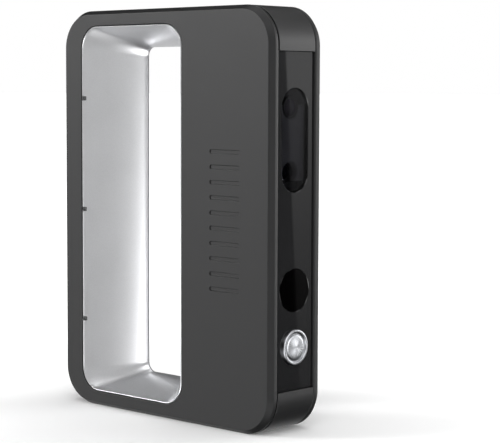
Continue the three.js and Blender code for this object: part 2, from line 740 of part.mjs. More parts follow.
// ---------------------------------------------------------------- optics

function cameraBezel() {
  const half = CAMERA_SLOT_RADIUS + BEZEL_MARGIN;
  const low = COLOUR_Z - BEZEL_BOTTOM_BELOW_COLOUR;
  const high = INFRARED_Z + BEZEL_TOP_ABOVE_INFRARED;
  const y1 = BEZEL_Y + BEZEL_THICKNESS;
  const front = BEZEL_Y - THROUGH;
  const infrared = rod('y', INFRARED_BARREL_RADIUS + LENS_FIT, front, y1 + THROUGH, [0, INFRARED_Z]);
  const colour = rod('y', COLOUR_HOLE_RADIUS, front, y1 + THROUGH, [0, COLOUR_Z]);
  const body = box([-half, BEZEL_Y, low], [half, y1, high]).subtract(infrared).subtract(colour);
  return piece('camera_bezel', body, opticBlack);
}

/** One optical unit: housing, barrel, glass and sensor or emitter chip, all at one height. */
function opticalUnit(unit) {
  const { name, z, barrelRadius, glassRadius, barrelFront, barrelLength, chipFinish, glassFinish } = unit;
  const y0 = HOUSING_Y;
  const y1 = HOUSING_Y + HOUSING_DEPTH;
  const barrelBack = barrelFront + barrelLength;
  const reach = Math.max(HOUSING_HALF_WIDTH, barrelRadius + LENS_FIT + 1);
  const halfChip = SENSOR_CHIP / 2;
  const room = halfChip + CHIP_FIT;
  const well = rod('y', barrelRadius + LENS_FIT, y0 - THROUGH, barrelBack + LENS_FIT, [0, z]);
  const chipRoom = box([-room, barrelBack - GLASS_FIT, z - room], [room, y1 + THROUGH, z + room]);
  const housing = box([-reach, y0, z - reach], [reach, y1, z + reach]).subtract(well).subtract(chipRoom);

  const glassBack = barrelFront + GLASS_SEAT_DEPTH;
  const seat = rod('y', glassRadius + GLASS_FIT, barrelFront - THROUGH, glassBack + GLASS_FIT / 2, [0, z]);
  const pathRadius = glassRadius * LIGHT_PATH_SHARE;
  const lightPath = rod('y', pathRadius, glassBack, barrelBack + THROUGH, [0, z], BORE_ROUND);
  const barrel = rod('y', barrelRadius, barrelFront, barrelBack, [0, z]).subtract(seat).subtract(lightPath);

  const crown = barrelFront + GLASS_CROWN_DROP;
  const glass = turnedY([
    [0, crown],
    [glassRadius / 2, crown + GLASS_CROWN_HEIGHT / 4],
    [glassRadius, crown + GLASS_CROWN_HEIGHT],
    [glassRadius, glassBack],
    [0, glassBack],
  ], z, ROUND);
  const chip = box([-halfChip, y1 - SENSOR_CHIP_THICKNESS, z - halfChip], [halfChip, y1, z + halfChip]);
  return [
    piece(`${name}_housing`, housing, opticBlack),
    piece(`${name}_barrel`, barrel, opticBlack),
    piece(`${name}_lens`, glass, glassFinish),
    piece(`${name}_chip`, chip, chipFinish),
  ];
}

const opticalUnits = () => [
  ...opticalUnit({
    name: 'infrared_camera',
    z: INFRARED_Z,
    barrelRadius: INFRARED_BARREL_RADIUS,
    glassRadius: INFRARED_GLASS_RADIUS,
    barrelFront: BEZEL_Y - INFRARED_BARREL_PROUD,
    barrelLength: INFRARED_BARREL_LENGTH,
    chipFinish: chipBlack,
    glassFinish: coatedGlass,
  }),
  ...opticalUnit({
    name: 'colour_camera',
    z: COLOUR_Z,
    barrelRadius: COLOUR_BARREL_RADIUS,
    glassRadius: COLOUR_GLASS_RADIUS,
    barrelFront: BEZEL_Y + BEZEL_THICKNESS + COLOUR_BARREL_SETBACK,
    barrelLength: COLOUR_BARREL_LENGTH,
    chipFinish: chipBlack,
    glassFinish: coatedGlass,
  }),
  ...opticalUnit({
    name: 'projector',
    z: PROJECTOR_Z,
    barrelRadius: PROJECTOR_BARREL_RADIUS,
    glassRadius: PROJECTOR_GLASS_RADIUS,
    barrelFront: BEZEL_Y - PROJECTOR_BARREL_PROUD,
    barrelLength: PROJECTOR_BARREL_LENGTH,
    chipFinish: insertBrass,
    glassFinish: clearGlass,
  }),
];

/** Aluminium bench behind the optical units. */
function opticalBench() {
  const shape = plateShape(BENCH_HALF_WIDTH, BENCH_BOTTOM, BENCH_TOP, BENCH_CORNER);
  const front = BENCH_Y - THROUGH;
  const back = BENCH_BACK_Y + THROUGH;
  let body = prismY(shape, BENCH_Y, BENCH_BACK_Y);
  for (const place of benchScrewPlaces()) {
    body = body.subtract(rod('y', M2_SHANK + SHANK_CLEARANCE, front, back, place, SMALL_ROUND));
  }
  for (const z of [COLOUR_Z, INFRARED_Z]) {
    body = body.subtract(box(
      [-RIBBON_SLOT_HALF_WIDTH, front, z - RIBBON_SLOT_HALF_HEIGHT],
      [RIBBON_SLOT_HALF_WIDTH, back, z + RIBBON_SLOT_HALF_HEIGHT]));
  }
  return piece('optical_bench', body, aluminium);
}

// ---------------------------------------------------------------- electronics

function mainBoard() {
  const back = BOARD_X + BOARD_THICKNESS;
  let body = box([BOARD_X, BOARD_Y0, BOARD_BOTTOM], [back, BOARD_Y1, BOARD_TOP]);
  for (const place of boardHoles()) {
    const hole = rod('x', M2_SHANK + SHANK_CLEARANCE, BOARD_X - THROUGH, back + THROUGH, place, SMALL_ROUND);
    body = body.subtract(hole);
  }
  return piece('main_board', body, boardGreen);
}

/** Part soldered to the -X side of the board, centred at y and z. */
function boardPart(name, y, z, [height, width, length], material) {
  const low = [BOARD_X - height, y - width / 2, z - length / 2];
  return piece(name, box(low, [BOARD_X, y + width / 2, z + length / 2]), material);
}

/** Shield can: a thin box, open towards the board. */
function shieldCan(y, z, [height, width, length]) {
  const x0 = BOARD_X - height;
  const halfWidth = width / 2;
  const halfLength = length / 2;
  const outer = box([x0, y - halfWidth, z - halfLength], [BOARD_X, y + halfWidth, z + halfLength]);
  const room = box(
    [x0 + SHIELD_SHEET, y - halfWidth + SHIELD_SHEET, z - halfLength + SHIELD_SHEET],
    [BOARD_X + THROUGH, y + halfWidth - SHIELD_SHEET, z + halfLength - SHIELD_SHEET]);
  return piece('shield_can', outer.subtract(room), shieldTin);
}

/** Heat spreader: a plate over the thermal pad with a foot on the back of the bench. */
function heatSpreader(padX, z) {
  const x0 = padX - SPREADER;
  const footBack = BENCH_BACK_Y + SPREADER;
  const plate = box(
    [x0, footBack, z - SPREADER_HALF], [padX, BOARD_Y1 - SPREADER_BACK_INSET, z + SPREADER_HALF]);
  const foot = box(
    [x0 - SPREADER_FOOT, BENCH_BACK_Y, z - SPREADER_HALF], [padX, footBack + TINY, z + SPREADER_HALF]);
  return piece('heat_spreader', plate.add(foot), aluminium);
}

function electronics() {
  const middle = (BOARD_Y0 + BOARD_Y1) / 2;
  const processorZ = (COLOUR_Z + PROJECTOR_Z) / 2 + PROCESSOR_RISE;
  const padX = BOARD_X - PROCESSOR[0] - THERMAL_PAD;
  const connectorY = BOARD_Y0 + SENSOR_CONNECTOR_INSET;
  const connectorZ = processorZ + SENSOR_CONNECTOR_RISE;
  return [
    mainBoard(),
    boardPart('depth_processor', middle, processorZ, PROCESSOR, chipBlack),
    boardPart('memory_chip', middle, processorZ + MEMORY_ABOVE_PROCESSOR, MEMORY, chipBlack),
    boardPart('flash_chip', middle - FLASH_OFFSET_Y, processorZ - FLASH_BELOW_PROCESSOR, FLASH, chipBlack),
    boardPart('sensor_connector', connectorY, connectorZ, SENSOR_CONNECTOR, connectorWhite),
    boardPart('cable_header', middle, BOARD_BOTTOM + CABLE_HEADER_RISE, CABLE_HEADER, connectorWhite),
    shieldCan(middle, BOARD_TOP - SHIELD_CAN_DROP, SHIELD_CAN),
    piece('thermal_pad', box(
      [padX, middle - THERMAL_PAD_HALF, processorZ - THERMAL_PAD_HALF],
      [padX + THERMAL_PAD, middle + THERMAL_PAD_HALF, processorZ + THERMAL_PAD_HALF]), foamGrey),
    heatSpreader(padX, processorZ),
  ];
}

// ---------------------------------------------------------------- fasteners

/** Pan head screw along +X from a seat: the head lies on the -X side of the seat. */
function screwX(seat, shank, headRadius, headHeight, length) {
  const top = seat - headHeight;
  const floor = top + headHeight * SOCKET_DEPTH_SHARE;
  return rod('x', shank, seat - TINY, seat + length, [0, 0], SMALL_ROUND)
    .add(rod('x', headRadius, top, seat, [0, 0]))
    .subtract(rod('x', headRadius * SOCKET_SHARE, top - THROUGH, floor, [0, 0], 6));
}

function screws() {
  const board = screwX(BOARD_X - HEAD_GAP, M2_SHANK, M2_HEAD, M2_HEAD_HEIGHT, M2_LENGTH);
  const boardScrews = boardHoles().map(([y, z], i) =>
    piece(`board_screw_${i + 1}`, board.translate([0, y, z]), screwSteel));
  const cover = mirrored(screwX(-WEB_HALF - HEAD_GAP, M25_SHANK, M25_HEAD, M25_HEAD_HEIGHT, M25_LENGTH));
  const coverScrews = coverBossPlaces().map(([y, z], i) =>
    piece(`cover_screw_${i + 1}`, cover.translate([0, y, z]), screwSteel));
  const bench = screwX(0, M2_SHANK, M2_HEAD, M2_HEAD_HEIGHT, M2_LENGTH).rotate([0, 0, -90]);
  const benchScrews = benchScrewPlaces().map(([x, z], i) =>
    piece(`bench_screw_${i + 1}`, bench.translate([x, BENCH_BACK_Y + HEAD_GAP, z]), screwSteel));
  return [...boardScrews, ...coverScrews, ...benchScrews];
}

// ---------------------------------------------------------------- assembly
const scanner = new THREE.Group();
scanner.add(
  leftCover(),
  rightCover(),
  centreFrame(),
  liner('left'),
  liner('right'),
  ...linerClips('left'),
  ...linerClips('right'),
  frontWindow(),
  windowGasket(),
  cameraGlass(),
  projectorFilter(),
  badge(),
  cameraBezel(),
  ...opticalUnits(),
  opticalBench(),
  ...electronics(),
  cableGland(),
  tripodInsert(),
  ...screws(),
);

export default scanner;
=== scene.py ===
"""Handheld depth scanner: the finished look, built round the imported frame.

Each sub-assembly is a class that holds its sizes, builds its meshes and dresses them. Places come from
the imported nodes. Sizes are in millimetres until a mesh is made, and the scene itself is in metres.
"""

from __future__ import annotations

import logging
import math
from dataclasses import dataclass
from enum import Enum
from typing import Any, Callable, Iterable, Sequence, Union

import bmesh
import bpy
from mathutils import Matrix, Vector


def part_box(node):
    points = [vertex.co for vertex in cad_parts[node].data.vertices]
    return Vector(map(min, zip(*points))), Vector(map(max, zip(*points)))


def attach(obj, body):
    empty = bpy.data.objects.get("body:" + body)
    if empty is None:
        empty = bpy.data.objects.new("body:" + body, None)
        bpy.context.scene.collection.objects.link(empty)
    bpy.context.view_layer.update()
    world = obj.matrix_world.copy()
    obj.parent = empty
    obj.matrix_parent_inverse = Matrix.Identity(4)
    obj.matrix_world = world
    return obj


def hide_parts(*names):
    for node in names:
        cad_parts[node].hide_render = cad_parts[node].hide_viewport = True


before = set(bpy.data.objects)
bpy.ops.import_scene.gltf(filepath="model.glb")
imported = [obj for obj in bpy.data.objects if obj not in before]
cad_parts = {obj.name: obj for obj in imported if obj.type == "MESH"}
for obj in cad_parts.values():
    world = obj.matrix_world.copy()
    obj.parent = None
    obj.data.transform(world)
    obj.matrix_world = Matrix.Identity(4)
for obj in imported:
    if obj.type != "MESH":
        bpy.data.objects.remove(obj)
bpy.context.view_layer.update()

MM = 0.001
ROOT = "root"
LOG = logging.getLogger("scanner")

Pair = tuple[float, float]
Triple = tuple[float, float, float]
Ring = list[Vector]
Body = bpy.types.Object
Relief = Callable[[float, float, int], Pair]

# In millimetres: how far cutters run past a face and joined pieces into their body, the distance at
# which points merge, and the radius that stands for a point on an axis.
PAST = 1.0
OVERLAP = 0.05
MERGE = 1e-4
ON_AXIS = 1e-3
ROD_FACETS = 32
FLAT_FACE_WEIGHT = 80


# ---- shader maths


class Sock:
    """A value inside a node tree, with arithmetic that adds the Math nodes for it."""

    def __init__(self, tree: "Tree", out: bpy.types.NodeSocket) -> None:
        """Keep the tree and the output socket that this value comes from."""
        self.tree = tree
        self.out = out

    def _math(self, operation: str, *values: "Value") -> "Sock":
        """Add one Math node of an operation, with its inputs in order."""
        return self.tree.node("ShaderNodeMath", {"operation": operation}, dict(enumerate(values)))

    def __add__(self, other: "Value") -> "Sock":
        """This plus other."""
        return self._math("ADD", self, other)

    __radd__ = __add__

    def __sub__(self, other: "Value") -> "Sock":
        """This minus other."""
        return self._math("SUBTRACT", self, other)

    def __rsub__(self, other: "Value") -> "Sock":
        """Other minus this."""
        return self._math("SUBTRACT", other, self)

    def __mul__(self, other: "Value") -> "Sock":
        """This times other."""
        return self._math("MULTIPLY", self, other)

    __rmul__ = __mul__

    def __truediv__(self, other: "Value") -> "Sock":
        """This over other."""
        return self._math("DIVIDE", self, other)

    def __gt__(self, other: "Value") -> "Sock":
        """1 where this is over other, else 0."""
        return self._math("GREATER_THAN", self, other)

    def absolute(self) -> "Sock":
        """This without its sign."""
        return self._math("ABSOLUTE", self)

    def sine(self) -> "Sock":
        """The sine of this, in radians."""
        return self._math("SINE", self)

    def exponential(self) -> "Sock":
        """e to the power of this."""
        return self._math("EXPONENT", self)

    def at_most(self, other: "Value") -> "Sock":
        """The smaller of this and other."""
        return self._math("MINIMUM", self, other)

    def smooth(self, low: float, high: float) -> "Sock":
        """A smooth step from 0 at low to 1 at high."""
        settings = {"interpolation_type": "SMOOTHSTEP"}
        inputs = {"Value": self, "From Min": low, "From Max": high}
        return self.tree.node("ShaderNodeMapRange", settings, inputs)


Value = Union[Sock, float, int]


class Tree:
    """A node tree and the few calls that fill it."""

    def __init__(self, nodes: bpy.types.NodeTree) -> None:
        """Start from an emptied tree."""
        self.nodes = nodes.nodes
        self.links = nodes.links
        self.nodes.clear()

    def node(
        self, kind: str, settings: dict | None = None, inputs: dict | None = None, output: int | str = 0
    ) -> Sock:
        """Add a node of any type.

        Args:
            kind: The node's type.
            settings: Its own properties, set before its sockets.
            inputs: Values or links by socket name or index.
            output: The output socket that is wanted.

        Returns:
            The chosen output.
        """
        made = self.nodes.new(kind)
        for name, value in (settings or {}).items():
            setattr(made, name, value)
        for name, value in (inputs or {}).items():
            if isinstance(value, Sock):
                self.links.new(value.out, made.inputs[name])
            else:
                made.inputs[name].default_value = value
        return Sock(self, made.outputs[output] if made.outputs else None)

    def place(self) -> Sock:
        """The point's place in the object's own frame, in metres."""
        return self.node("ShaderNodeTexCoord", output="Object")

    def noise(self, size_mm: float, detail: float = 2.0, stretch: Triple = (1, 1, 1)) -> Sock:
        """Cloudy noise from 0 to 1.

        Args:
            size_mm: The size of its cells.
            detail: How many finer layers it adds.
            stretch: How much finer it is along each axis.

        Returns:
            The noise.
        """
        scaled = self.vector("MULTIPLY", self.place(), stretch)
        inputs = {"Vector": scaled, "Scale": 1 / (size_mm * MM), "Detail": detail}
        return self.node("ShaderNodeTexNoise", {}, inputs)

    def cells(self, size_mm: float, output: str = "Distance") -> Sock:
        """Cell pattern of a given cell size; "Color" gives each cell a random colour."""
        inputs = {"Vector": self.place(), "Scale": 1 / (size_mm * MM)}
        return self.node("ShaderNodeTexVoronoi", {}, inputs, output)

    def vector(self, operation: str, first: Sock, second: Any, output: str = "Vector") -> Sock:
        """One Vector Math node on two vectors."""
        return self.node("ShaderNodeVectorMath", {"operation": operation}, {0: first, 1: second}, output)

    def split(self, vector: Sock, axis: str) -> Sock:
        """One component of a vector."""
        return self.node("ShaderNodeSeparateXYZ", {}, {"Vector": vector}, axis)

    def blend(self, share: Value, first: Triple | Sock, second: Triple | Sock) -> Sock:
        """A colour between two, by a share that changes over the surface."""
        inputs = {0: share, 6: rgba(first), 7: rgba(second)}
        return self.node("ShaderNodeMix", {"data_type": "RGBA"}, inputs, 2)

    def shades(self, share: Value, colour: Triple, first: float, second: float) -> Sock:
        """One colour between two brightnesses, by a share that changes over the surface."""
        ends = [tuple(channel * factor for channel in colour) for factor in (first, second)]
        return self.blend(share, *ends)

    def bump(self, height: Sock, depth_mm: float, strength: float) -> Sock:
        """A normal that follows a height pattern of a given depth."""
        inputs = {"Height": height, "Distance": depth_mm * MM, "Strength": strength}
        return self.node("ShaderNodeBump", {}, inputs)

    def surface(self, **inputs: Any) -> Sock:
        """A Principled shader; underscores in the names stand for spaces."""
        named = {name.replace("_", " "): rgba(value) for name, value in inputs.items()}
        return self.node("ShaderNodeBsdfPrincipled", {}, named)

    def finish(self, shader: Sock, kind: str = "ShaderNodeOutputMaterial") -> None:
        """Join a shader to the tree's output."""
        self.node(kind, {}, {"Surface": shader})


def rgba(value: Any) -> Any:
    """A plain colour with its alpha added; anything else as it is."""
    return (*value, 1.0) if isinstance(value, tuple) and len(value) == 3 else value


# ---- finishes


class Finish:
    """A named material; each kind fills its own node tree."""

    name: str

    def fill(self, tree: Tree) -> Sock:
        """Build the shader."""
        raise NotImplementedError

    def material(self) -> bpy.types.Material:
        """The Blender material, made once and then shared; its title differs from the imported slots' names."""
        title = f"{self.name}_detailed"
        found = bpy.data.materials.get(title)
        if found is not None:
            return found
        made = bpy.data.materials.new(title)
        made.use_nodes = True
        tree = Tree(made.node_tree)
        tree.finish(self.fill(tree))
        return made


@dataclass(frozen=True)
class MouldedPlastic(Finish):
    """Black moulded plastic with a fine spark-eroded grain."""

    name: str
    colour: Triple
    roughness: float
    grain_mm: float = 0.42
    grain_depth_mm: float = 0.012
    specular: float = 0.5

    def fill(self, tree: Tree) -> Sock:
        """Grain for the normal; clouds, specks and handling for colour and roughness."""
        grain = tree.noise(self.grain_mm, detail=3)
        clouds = tree.noise(26, detail=2)
        specks = tree.cells(0.5).smooth(0.0, 0.5)
        handled = tree.noise(9, detail=4).smooth(0.52, 0.78)
        return tree.surface(
            Base_Color=tree.shades(clouds * 0.55 + specks * 0.45, self.colour, 0.9, 1.16),
            Roughness=clouds * 0.06 + grain * 0.05 - handled * 0.04 + (self.roughness - 0.05),
            Normal=tree.bump(grain, self.grain_depth_mm, 0.6),
            Specular_IOR_Level=self.specular,
        )


@dataclass(frozen=True)
class SilverPaint(Finish):
    """Satin silver paint: fine metal flakes under a thin clear coat."""

    name: str
    colour: Triple
    roughness: float
    metallic: float
    flake_mm: float = 0.28
    coat: float = 0.25
    coat_roughness: float = 0.18

    def fill(self, tree: Tree) -> Sock:
        """Flakes, clouds and streaks vary its brightness, and a faint peel its normal."""
        level = tree.split(tree.cells(self.flake_mm, "Color"), "X")
        clouds = tree.noise(14, detail=3)
        streaks = tree.noise(9, detail=4, stretch=(1, 1, 0.12))
        return tree.surface(
            Base_Color=tree.shades(level * 0.3 + clouds * 0.4 + streaks * 0.3, self.colour, 0.9, 1.09),
            Roughness=clouds * 0.03 + level * 0.03 + (self.roughness - 0.03),
            Normal=tree.bump(tree.noise(1.6, detail=1), 0.002, 0.5),
            Metallic=self.metallic,
            Coat_Weight=self.coat,
            Coat_Roughness=self.coat_roughness,
        )


@dataclass(frozen=True)
class GlossPanel(Finish):
    """Dark acrylic with a polished face and the faintest smears."""

    name: str
    colour: Triple
    roughness: float
    specular: float = 0.5

    def fill(self, tree: Tree) -> Sock:
        """Smears and fine dust change only the gloss and the depth of the black."""
        smears = tree.noise(7, detail=4, stretch=(1, 1, 0.35)).smooth(0.5, 0.85)
        dust = 1 - tree.cells(1.7).smooth(0.0, 0.05)
        return tree.surface(
            Base_Color=tree.shades(dust * 0.35 + smears * 0.15, self.colour, 1.0, 1.5),
            Roughness=smears * 0.015 + dust * 0.1 + self.roughness,
            Normal=tree.bump(tree.noise(24, detail=0), 0.004, 0.4),
            Specular_IOR_Level=self.specular,
        )


@dataclass(frozen=True)
class CoverGlass(Finish):
    """Thin coated glass: a weak mirror over a clear tint."""

    name: str
    tint: Triple
    index: float

    def fill(self, tree: Tree) -> Sock:
        """Fresnel mixes the mirror in; smears roughen it."""
        smears = tree.noise(6, detail=3).smooth(0.5, 0.9)
        clear = tree.node("ShaderNodeBsdfTransparent", {}, {"Color": rgba(self.tint)})
        mirror = tree.surface(Base_Color=(1.0, 1.0, 1.0), Metallic=1.0, Roughness=smears * 0.04 + 0.02)
        fresnel = tree.node("ShaderNodeFresnel", {}, {"IOR": self.index})
        return tree.node("ShaderNodeMixShader", {}, {0: fresnel, 1: clear, 2: mirror})


@dataclass(frozen=True)
class CoatedLens(Finish):
    """Lens glass seen as a dark pool, with a painted reflection in the coating's colour towards its rim."""

    name: str
    depth: Triple
    coating_reflection: Triple
    specular: float = 0.1

    def fill(self, tree: Tree) -> Sock:
        """A painted reflection in the coating's colour shows where the glass turns away."""
        painted_reflection_share = tree.node("ShaderNodeLayerWeight", {}, {"Blend": 0.35}, "Facing")
        clouds = tree.noise(2.2, detail=1)
        return tree.surface(
            # Painted reflection: the coating's colour is mixed into the base colour by how far the glass turns
            # from the view.
            Base_Color=tree.blend(painted_reflection_share * 0.8 + clouds * 0.2, self.depth, self.coating_reflection),
            Roughness=clouds * 0.02 + 0.02,
            Specular_IOR_Level=self.specular,
        )


@dataclass(frozen=True)
class BareMetal(Finish):
    """Machined or plated metal with tool marks along one direction."""

    name: str
    colour: Triple
    roughness: float
    marks_mm: float = 0.5
    stretch: Triple = (1.0, 1.0, 9.0)
    marks_depth_mm: float = 0.008

    def fill(self, tree: Tree) -> Sock:
        """Stretched noise gives the tool marks, clouds a little tarnish."""
        marks = tree.noise(self.marks_mm, detail=3, stretch=self.stretch)
        tarnish = tree.noise(5, detail=3).smooth(0.45, 0.8)
        return tree.surface(
            Base_Color=tree.shades(tarnish * 0.6 + marks * 0.25, self.colour, 1.0, 0.8),
            Metallic=1.0,
            Roughness=marks * 0.1 + tarnish * 0.08 + (self.roughness - 0.05),
            Normal=tree.bump(marks, self.marks_depth_mm, 0.5),
        )


@dataclass(frozen=True)
class CircuitLaminate(Finish):
    """Solder mask over copper tracks, with tinned pads."""

    name: str = "circuit_laminate"
    mask: Triple = (0.012, 0.085, 0.03)
    track: Triple = (0.02, 0.16, 0.055)
    pad: Triple = (0.62, 0.6, 0.52)
    pitch_up: float = 4200
    pitch_across: float = 3100

    def fill(self, tree: Tree) -> Sock:
        """Tracks run up and across the board, and pads sit in cells between them."""
        up = (tree.split(tree.place(), "Y") * self.pitch_up).sine().absolute().smooth(0.0, 0.35)
        across = (tree.split(tree.place(), "Z") * self.pitch_across).sine().absolute().smooth(0.0, 0.35)
        region = tree.noise(9, detail=1) > 0.5
        tracks = up * region + across * (1 - region)
        pads = 1 - tree.cells(2.6).smooth(0.2, 0.24)
        return tree.surface(
            Base_Color=tree.blend(pads, tree.blend(tracks, self.mask, self.track), self.pad),
            Metallic=pads * 0.9,
            Roughness=0.42 - pads * 0.15,
            Normal=tree.bump(tracks + pads, 0.03, 0.6),
        )


@dataclass(frozen=True)
class ChipEpoxy(Finish):
    """Matt moulding compound with a sanded top."""

    name: str = "chip_epoxy"
    colour: Triple = (0.016, 0.016, 0.018)

    def fill(self, tree: Tree) -> Sock:
        """A sandy grain over cloudy grey."""
        sand = tree.noise(0.16, detail=3)
        clouds = tree.noise(4, detail=2)
        return tree.surface(
            Base_Color=tree.shades(sand * 0.5 + clouds * 0.5, self.colour, 1.0, 2.2),
            Roughness=sand * 0.15 + 0.45,
            Normal=tree.bump(sand, 0.01, 0.7),
        )


@dataclass(frozen=True)
class SoftFoam(Finish):
    """Open-cell foam or rubber, by its pore size and colour."""

    name: str
    colour: Triple
    pore_mm: float
    depth_mm: float
    specular: float = 0.3

    def fill(self, tree: Tree) -> Sock:
        """Cells pit the surface, and shade is painted darker where they are deep."""
        pore_pits_and_shade = tree.cells(self.pore_mm).smooth(0.0, 0.6)
        clouds = tree.noise(6, detail=3)
        return tree.surface(
            # Painted shade: the base colour darkens towards the pits' centres, down to 0.55 of the colour.
            Base_Color=tree.shades(pore_pits_and_shade * 0.6 + clouds * 0.4, self.colour, 0.55, 1.0),
            Roughness=clouds * 0.1 + 0.8,
            Normal=tree.bump(pore_pits_and_shade, self.depth_mm, 0.8),
            Specular_IOR_Level=self.specular,
        )


@dataclass(frozen=True)
class StudioFloor(Finish):
    """Pale matt backdrop paper, with a painted glow that grows away from the part."""

    name: str = "studio_floor"
    colour: Triple = (0.93, 0.93, 0.93)
    glow_from: float = 0.0
    glow_to: float = 0.3
    painted_glow: float = 0.6
    roughness: float = 0.9
    specular: float = 0.1

    def fill(self, tree: Tree) -> Sock:
        """A barely visible paper fibre, and a painted glow that grows with the distance from the middle."""
        fibre = tree.noise(1.5, detail=3)
        away = tree.vector("LENGTH", tree.place(), (0, 0, 0), "Value").smooth(self.glow_from, self.glow_to)
        return tree.surface(
            Base_Color=tree.shades(fibre, self.colour, 1.0, 0.995),
            Roughness=self.roughness,
            Specular_IOR_Level=self.specular,
            # Painted glow: the paper itself emits light, none at the middle and more further out.
            Emission_Color=tree.blend(away, (0.0, 0.0, 0.0), (1.0, 1.0, 1.0)),
            Emission_Strength=self.painted_glow,
        )


COVER_PLASTIC = MouldedPlastic("cover_plastic", (0.013, 0.013, 0.0134), 0.45, specular=0.25)
FRAME_PLASTIC = MouldedPlastic("frame_plastic", (0.014, 0.014, 0.0144), 0.38, specular=0.34)
OPTIC_PLASTIC = MouldedPlastic("optic_plastic", (0.006, 0.006, 0.0065), 0.5, 0.2, 0.006, specular=0.2)
BEZEL_PLASTIC = MouldedPlastic("bezel_plastic", (0.045, 0.045, 0.0465), 0.5, 0.2, 0.006, specular=0.25)
CLIP_PLASTIC = MouldedPlastic("clip_plastic", (0.02, 0.02, 0.021), 0.5, 0.2, 0.006)
CONNECTOR_NYLON = MouldedPlastic("connector_nylon", (0.74, 0.70, 0.60), 0.5, 0.3, 0.01)
LINER_SILVER = SilverPaint("liner_silver", (0.72, 0.725, 0.74), 0.35, 0.92)
WINDOW_GLOSS = GlossPanel("window_gloss", (0.012, 0.012, 0.0125), 0.012)
FILTER_GLOSS = GlossPanel("filter_gloss", (0.0006, 0.0005, 0.0006), 0.02, specular=0.16)
CLEAR_WINDOW = CoverGlass("clear_window", (0.66, 0.66, 0.68), 1.18)
PURPLE_LENS = CoatedLens("purple_lens", (0.002, 0.0006, 0.004), (0.010, 0.002, 0.020))
DARK_LENS = CoatedLens("dark_lens", (0.001, 0.001, 0.0012), (0.006, 0.007, 0.012))
BADGE_METAL = BareMetal("badge_metal", (0.37, 0.378, 0.395), 0.28, 0.2, (1, 1, 1), 0.003)
BENCH_ALUMINIUM = BareMetal("bench_aluminium", (0.72, 0.73, 0.75), 0.4)
SCREW_STEEL = BareMetal("screw_steel", (0.6, 0.61, 0.63), 0.32, 0.3, (1, 1, 1))
INSERT_BRASS = BareMetal("insert_brass", (0.78, 0.56, 0.24), 0.34, 0.4, (1, 1, 6))
SHIELD_METAL = BareMetal("shield_metal", (0.74, 0.75, 0.76), 0.3, 0.6, (1, 6, 1))
CIRCUIT_BOARD = CircuitLaminate()
CHIP = ChipEpoxy()
GASKET_FOAM = SoftFoam("gasket_foam", (0.07, 0.072, 0.078), 0.4, 0.08)
GLAND_RUBBER = SoftFoam("gland_rubber", (0.02, 0.02, 0.021), 0.22, 0.012)


# ---- shapes


class Axis(Enum):
    """The direction that a flat outline is stacked along."""

    X = 0
    Y = 1
    Z = 2

    def point(self, first: float, second: float, depth: float) -> Vector:
        """A point from two values in the outline's plane and one along the axis."""
        values = [first, second]
        values.insert(self.value, depth)
        return Vector(values)

    def across(self, point: Vector) -> Pair:
        """A point's two values in the plane across the axis."""
        return tuple(value for index, value in enumerate(point) if index != self.value)


class Cut(Enum):
    """What a boolean does with its tools."""

    REMOVE = "DIFFERENCE"
    ADD = "UNION"


@dataclass(frozen=True)
class Extent:
    """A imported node's lowest and highest corner, in millimetres."""

    low: Vector
    high: Vector

    @classmethod
    def of(cls, node: str) -> "Extent":
        """The extent of a node by its name."""
        low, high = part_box(node)
        return cls(low / MM, high / MM)

    @property
    def centre(self) -> Vector:
        """Its middle."""
        return (self.low + self.high) / 2

    @property
    def radius(self) -> float:
        """Half its width from left to right."""
        return (self.high.x - self.low.x) / 2

    def outline(self, axis: Axis, radius: float, steps: int = 18, grow: float = 0.0) -> "Rounded":
        """Its outline across an axis.

        Args:
            axis: The axis that it is seen along.
            radius: The rounding of its corners.
            steps: Facets in each corner.
            grow: How far it is offset outwards.

        Returns:
            The rounded rectangle.
        """
        (low_1, low_2), (high_1, high_2) = axis.across(self.low), axis.across(self.high)
        return Rounded((low_1 - grow, low_2 - grow), (high_1 + grow, high_2 + grow), radius, steps)


@dataclass(frozen=True)
class Rounded:
    """Rounded rectangle in a plane; a circle or a slot when its radius is half its width."""

    low: Pair
    high: Pair
    radius: float
    steps: int = 18

    @classmethod
    def circle(cls, centre: Pair, radius: float, steps: int = 12) -> "Rounded":
        """A circle by its centre and radius."""
        low = (centre[0] - radius, centre[1] - radius)
        high = (centre[0] + radius, centre[1] + radius)
        return cls(low, high, radius, steps)

    def ring(self, axis: Axis, depth: float, grow: float = 0.0) -> Ring:
        """The outline's points.

        Args:
            axis: The direction that it is stacked along.
            depth: Its place along that direction.
            grow: How far it is offset outwards.

        Returns:
            Its points, four corners of equal counts.
        """
        radius = max(self.radius + grow, 0.02)
        x0 = self.low[0] - grow + radius
        x1 = self.high[0] + grow - radius
        y0 = self.low[1] - grow + radius
        y1 = self.high[1] + grow - radius
        points: Ring = []
        for quarter, (x, y) in enumerate([(x1, y1), (x0, y1), (x0, y0), (x1, y0)]):
            for step in range(self.steps + 1):
                angle = (quarter + step / self.steps) * math.pi / 2
                points.append(axis.point(x + radius * math.cos(angle), y + radius * math.sin(angle), depth))
        return points


@dataclass(frozen=True)
class Corner:
    """A corner of a wall's section: depth into the part, offset from the outline, and its rounding."""

    depth: float
    grow: float
    radius: float = 0.0


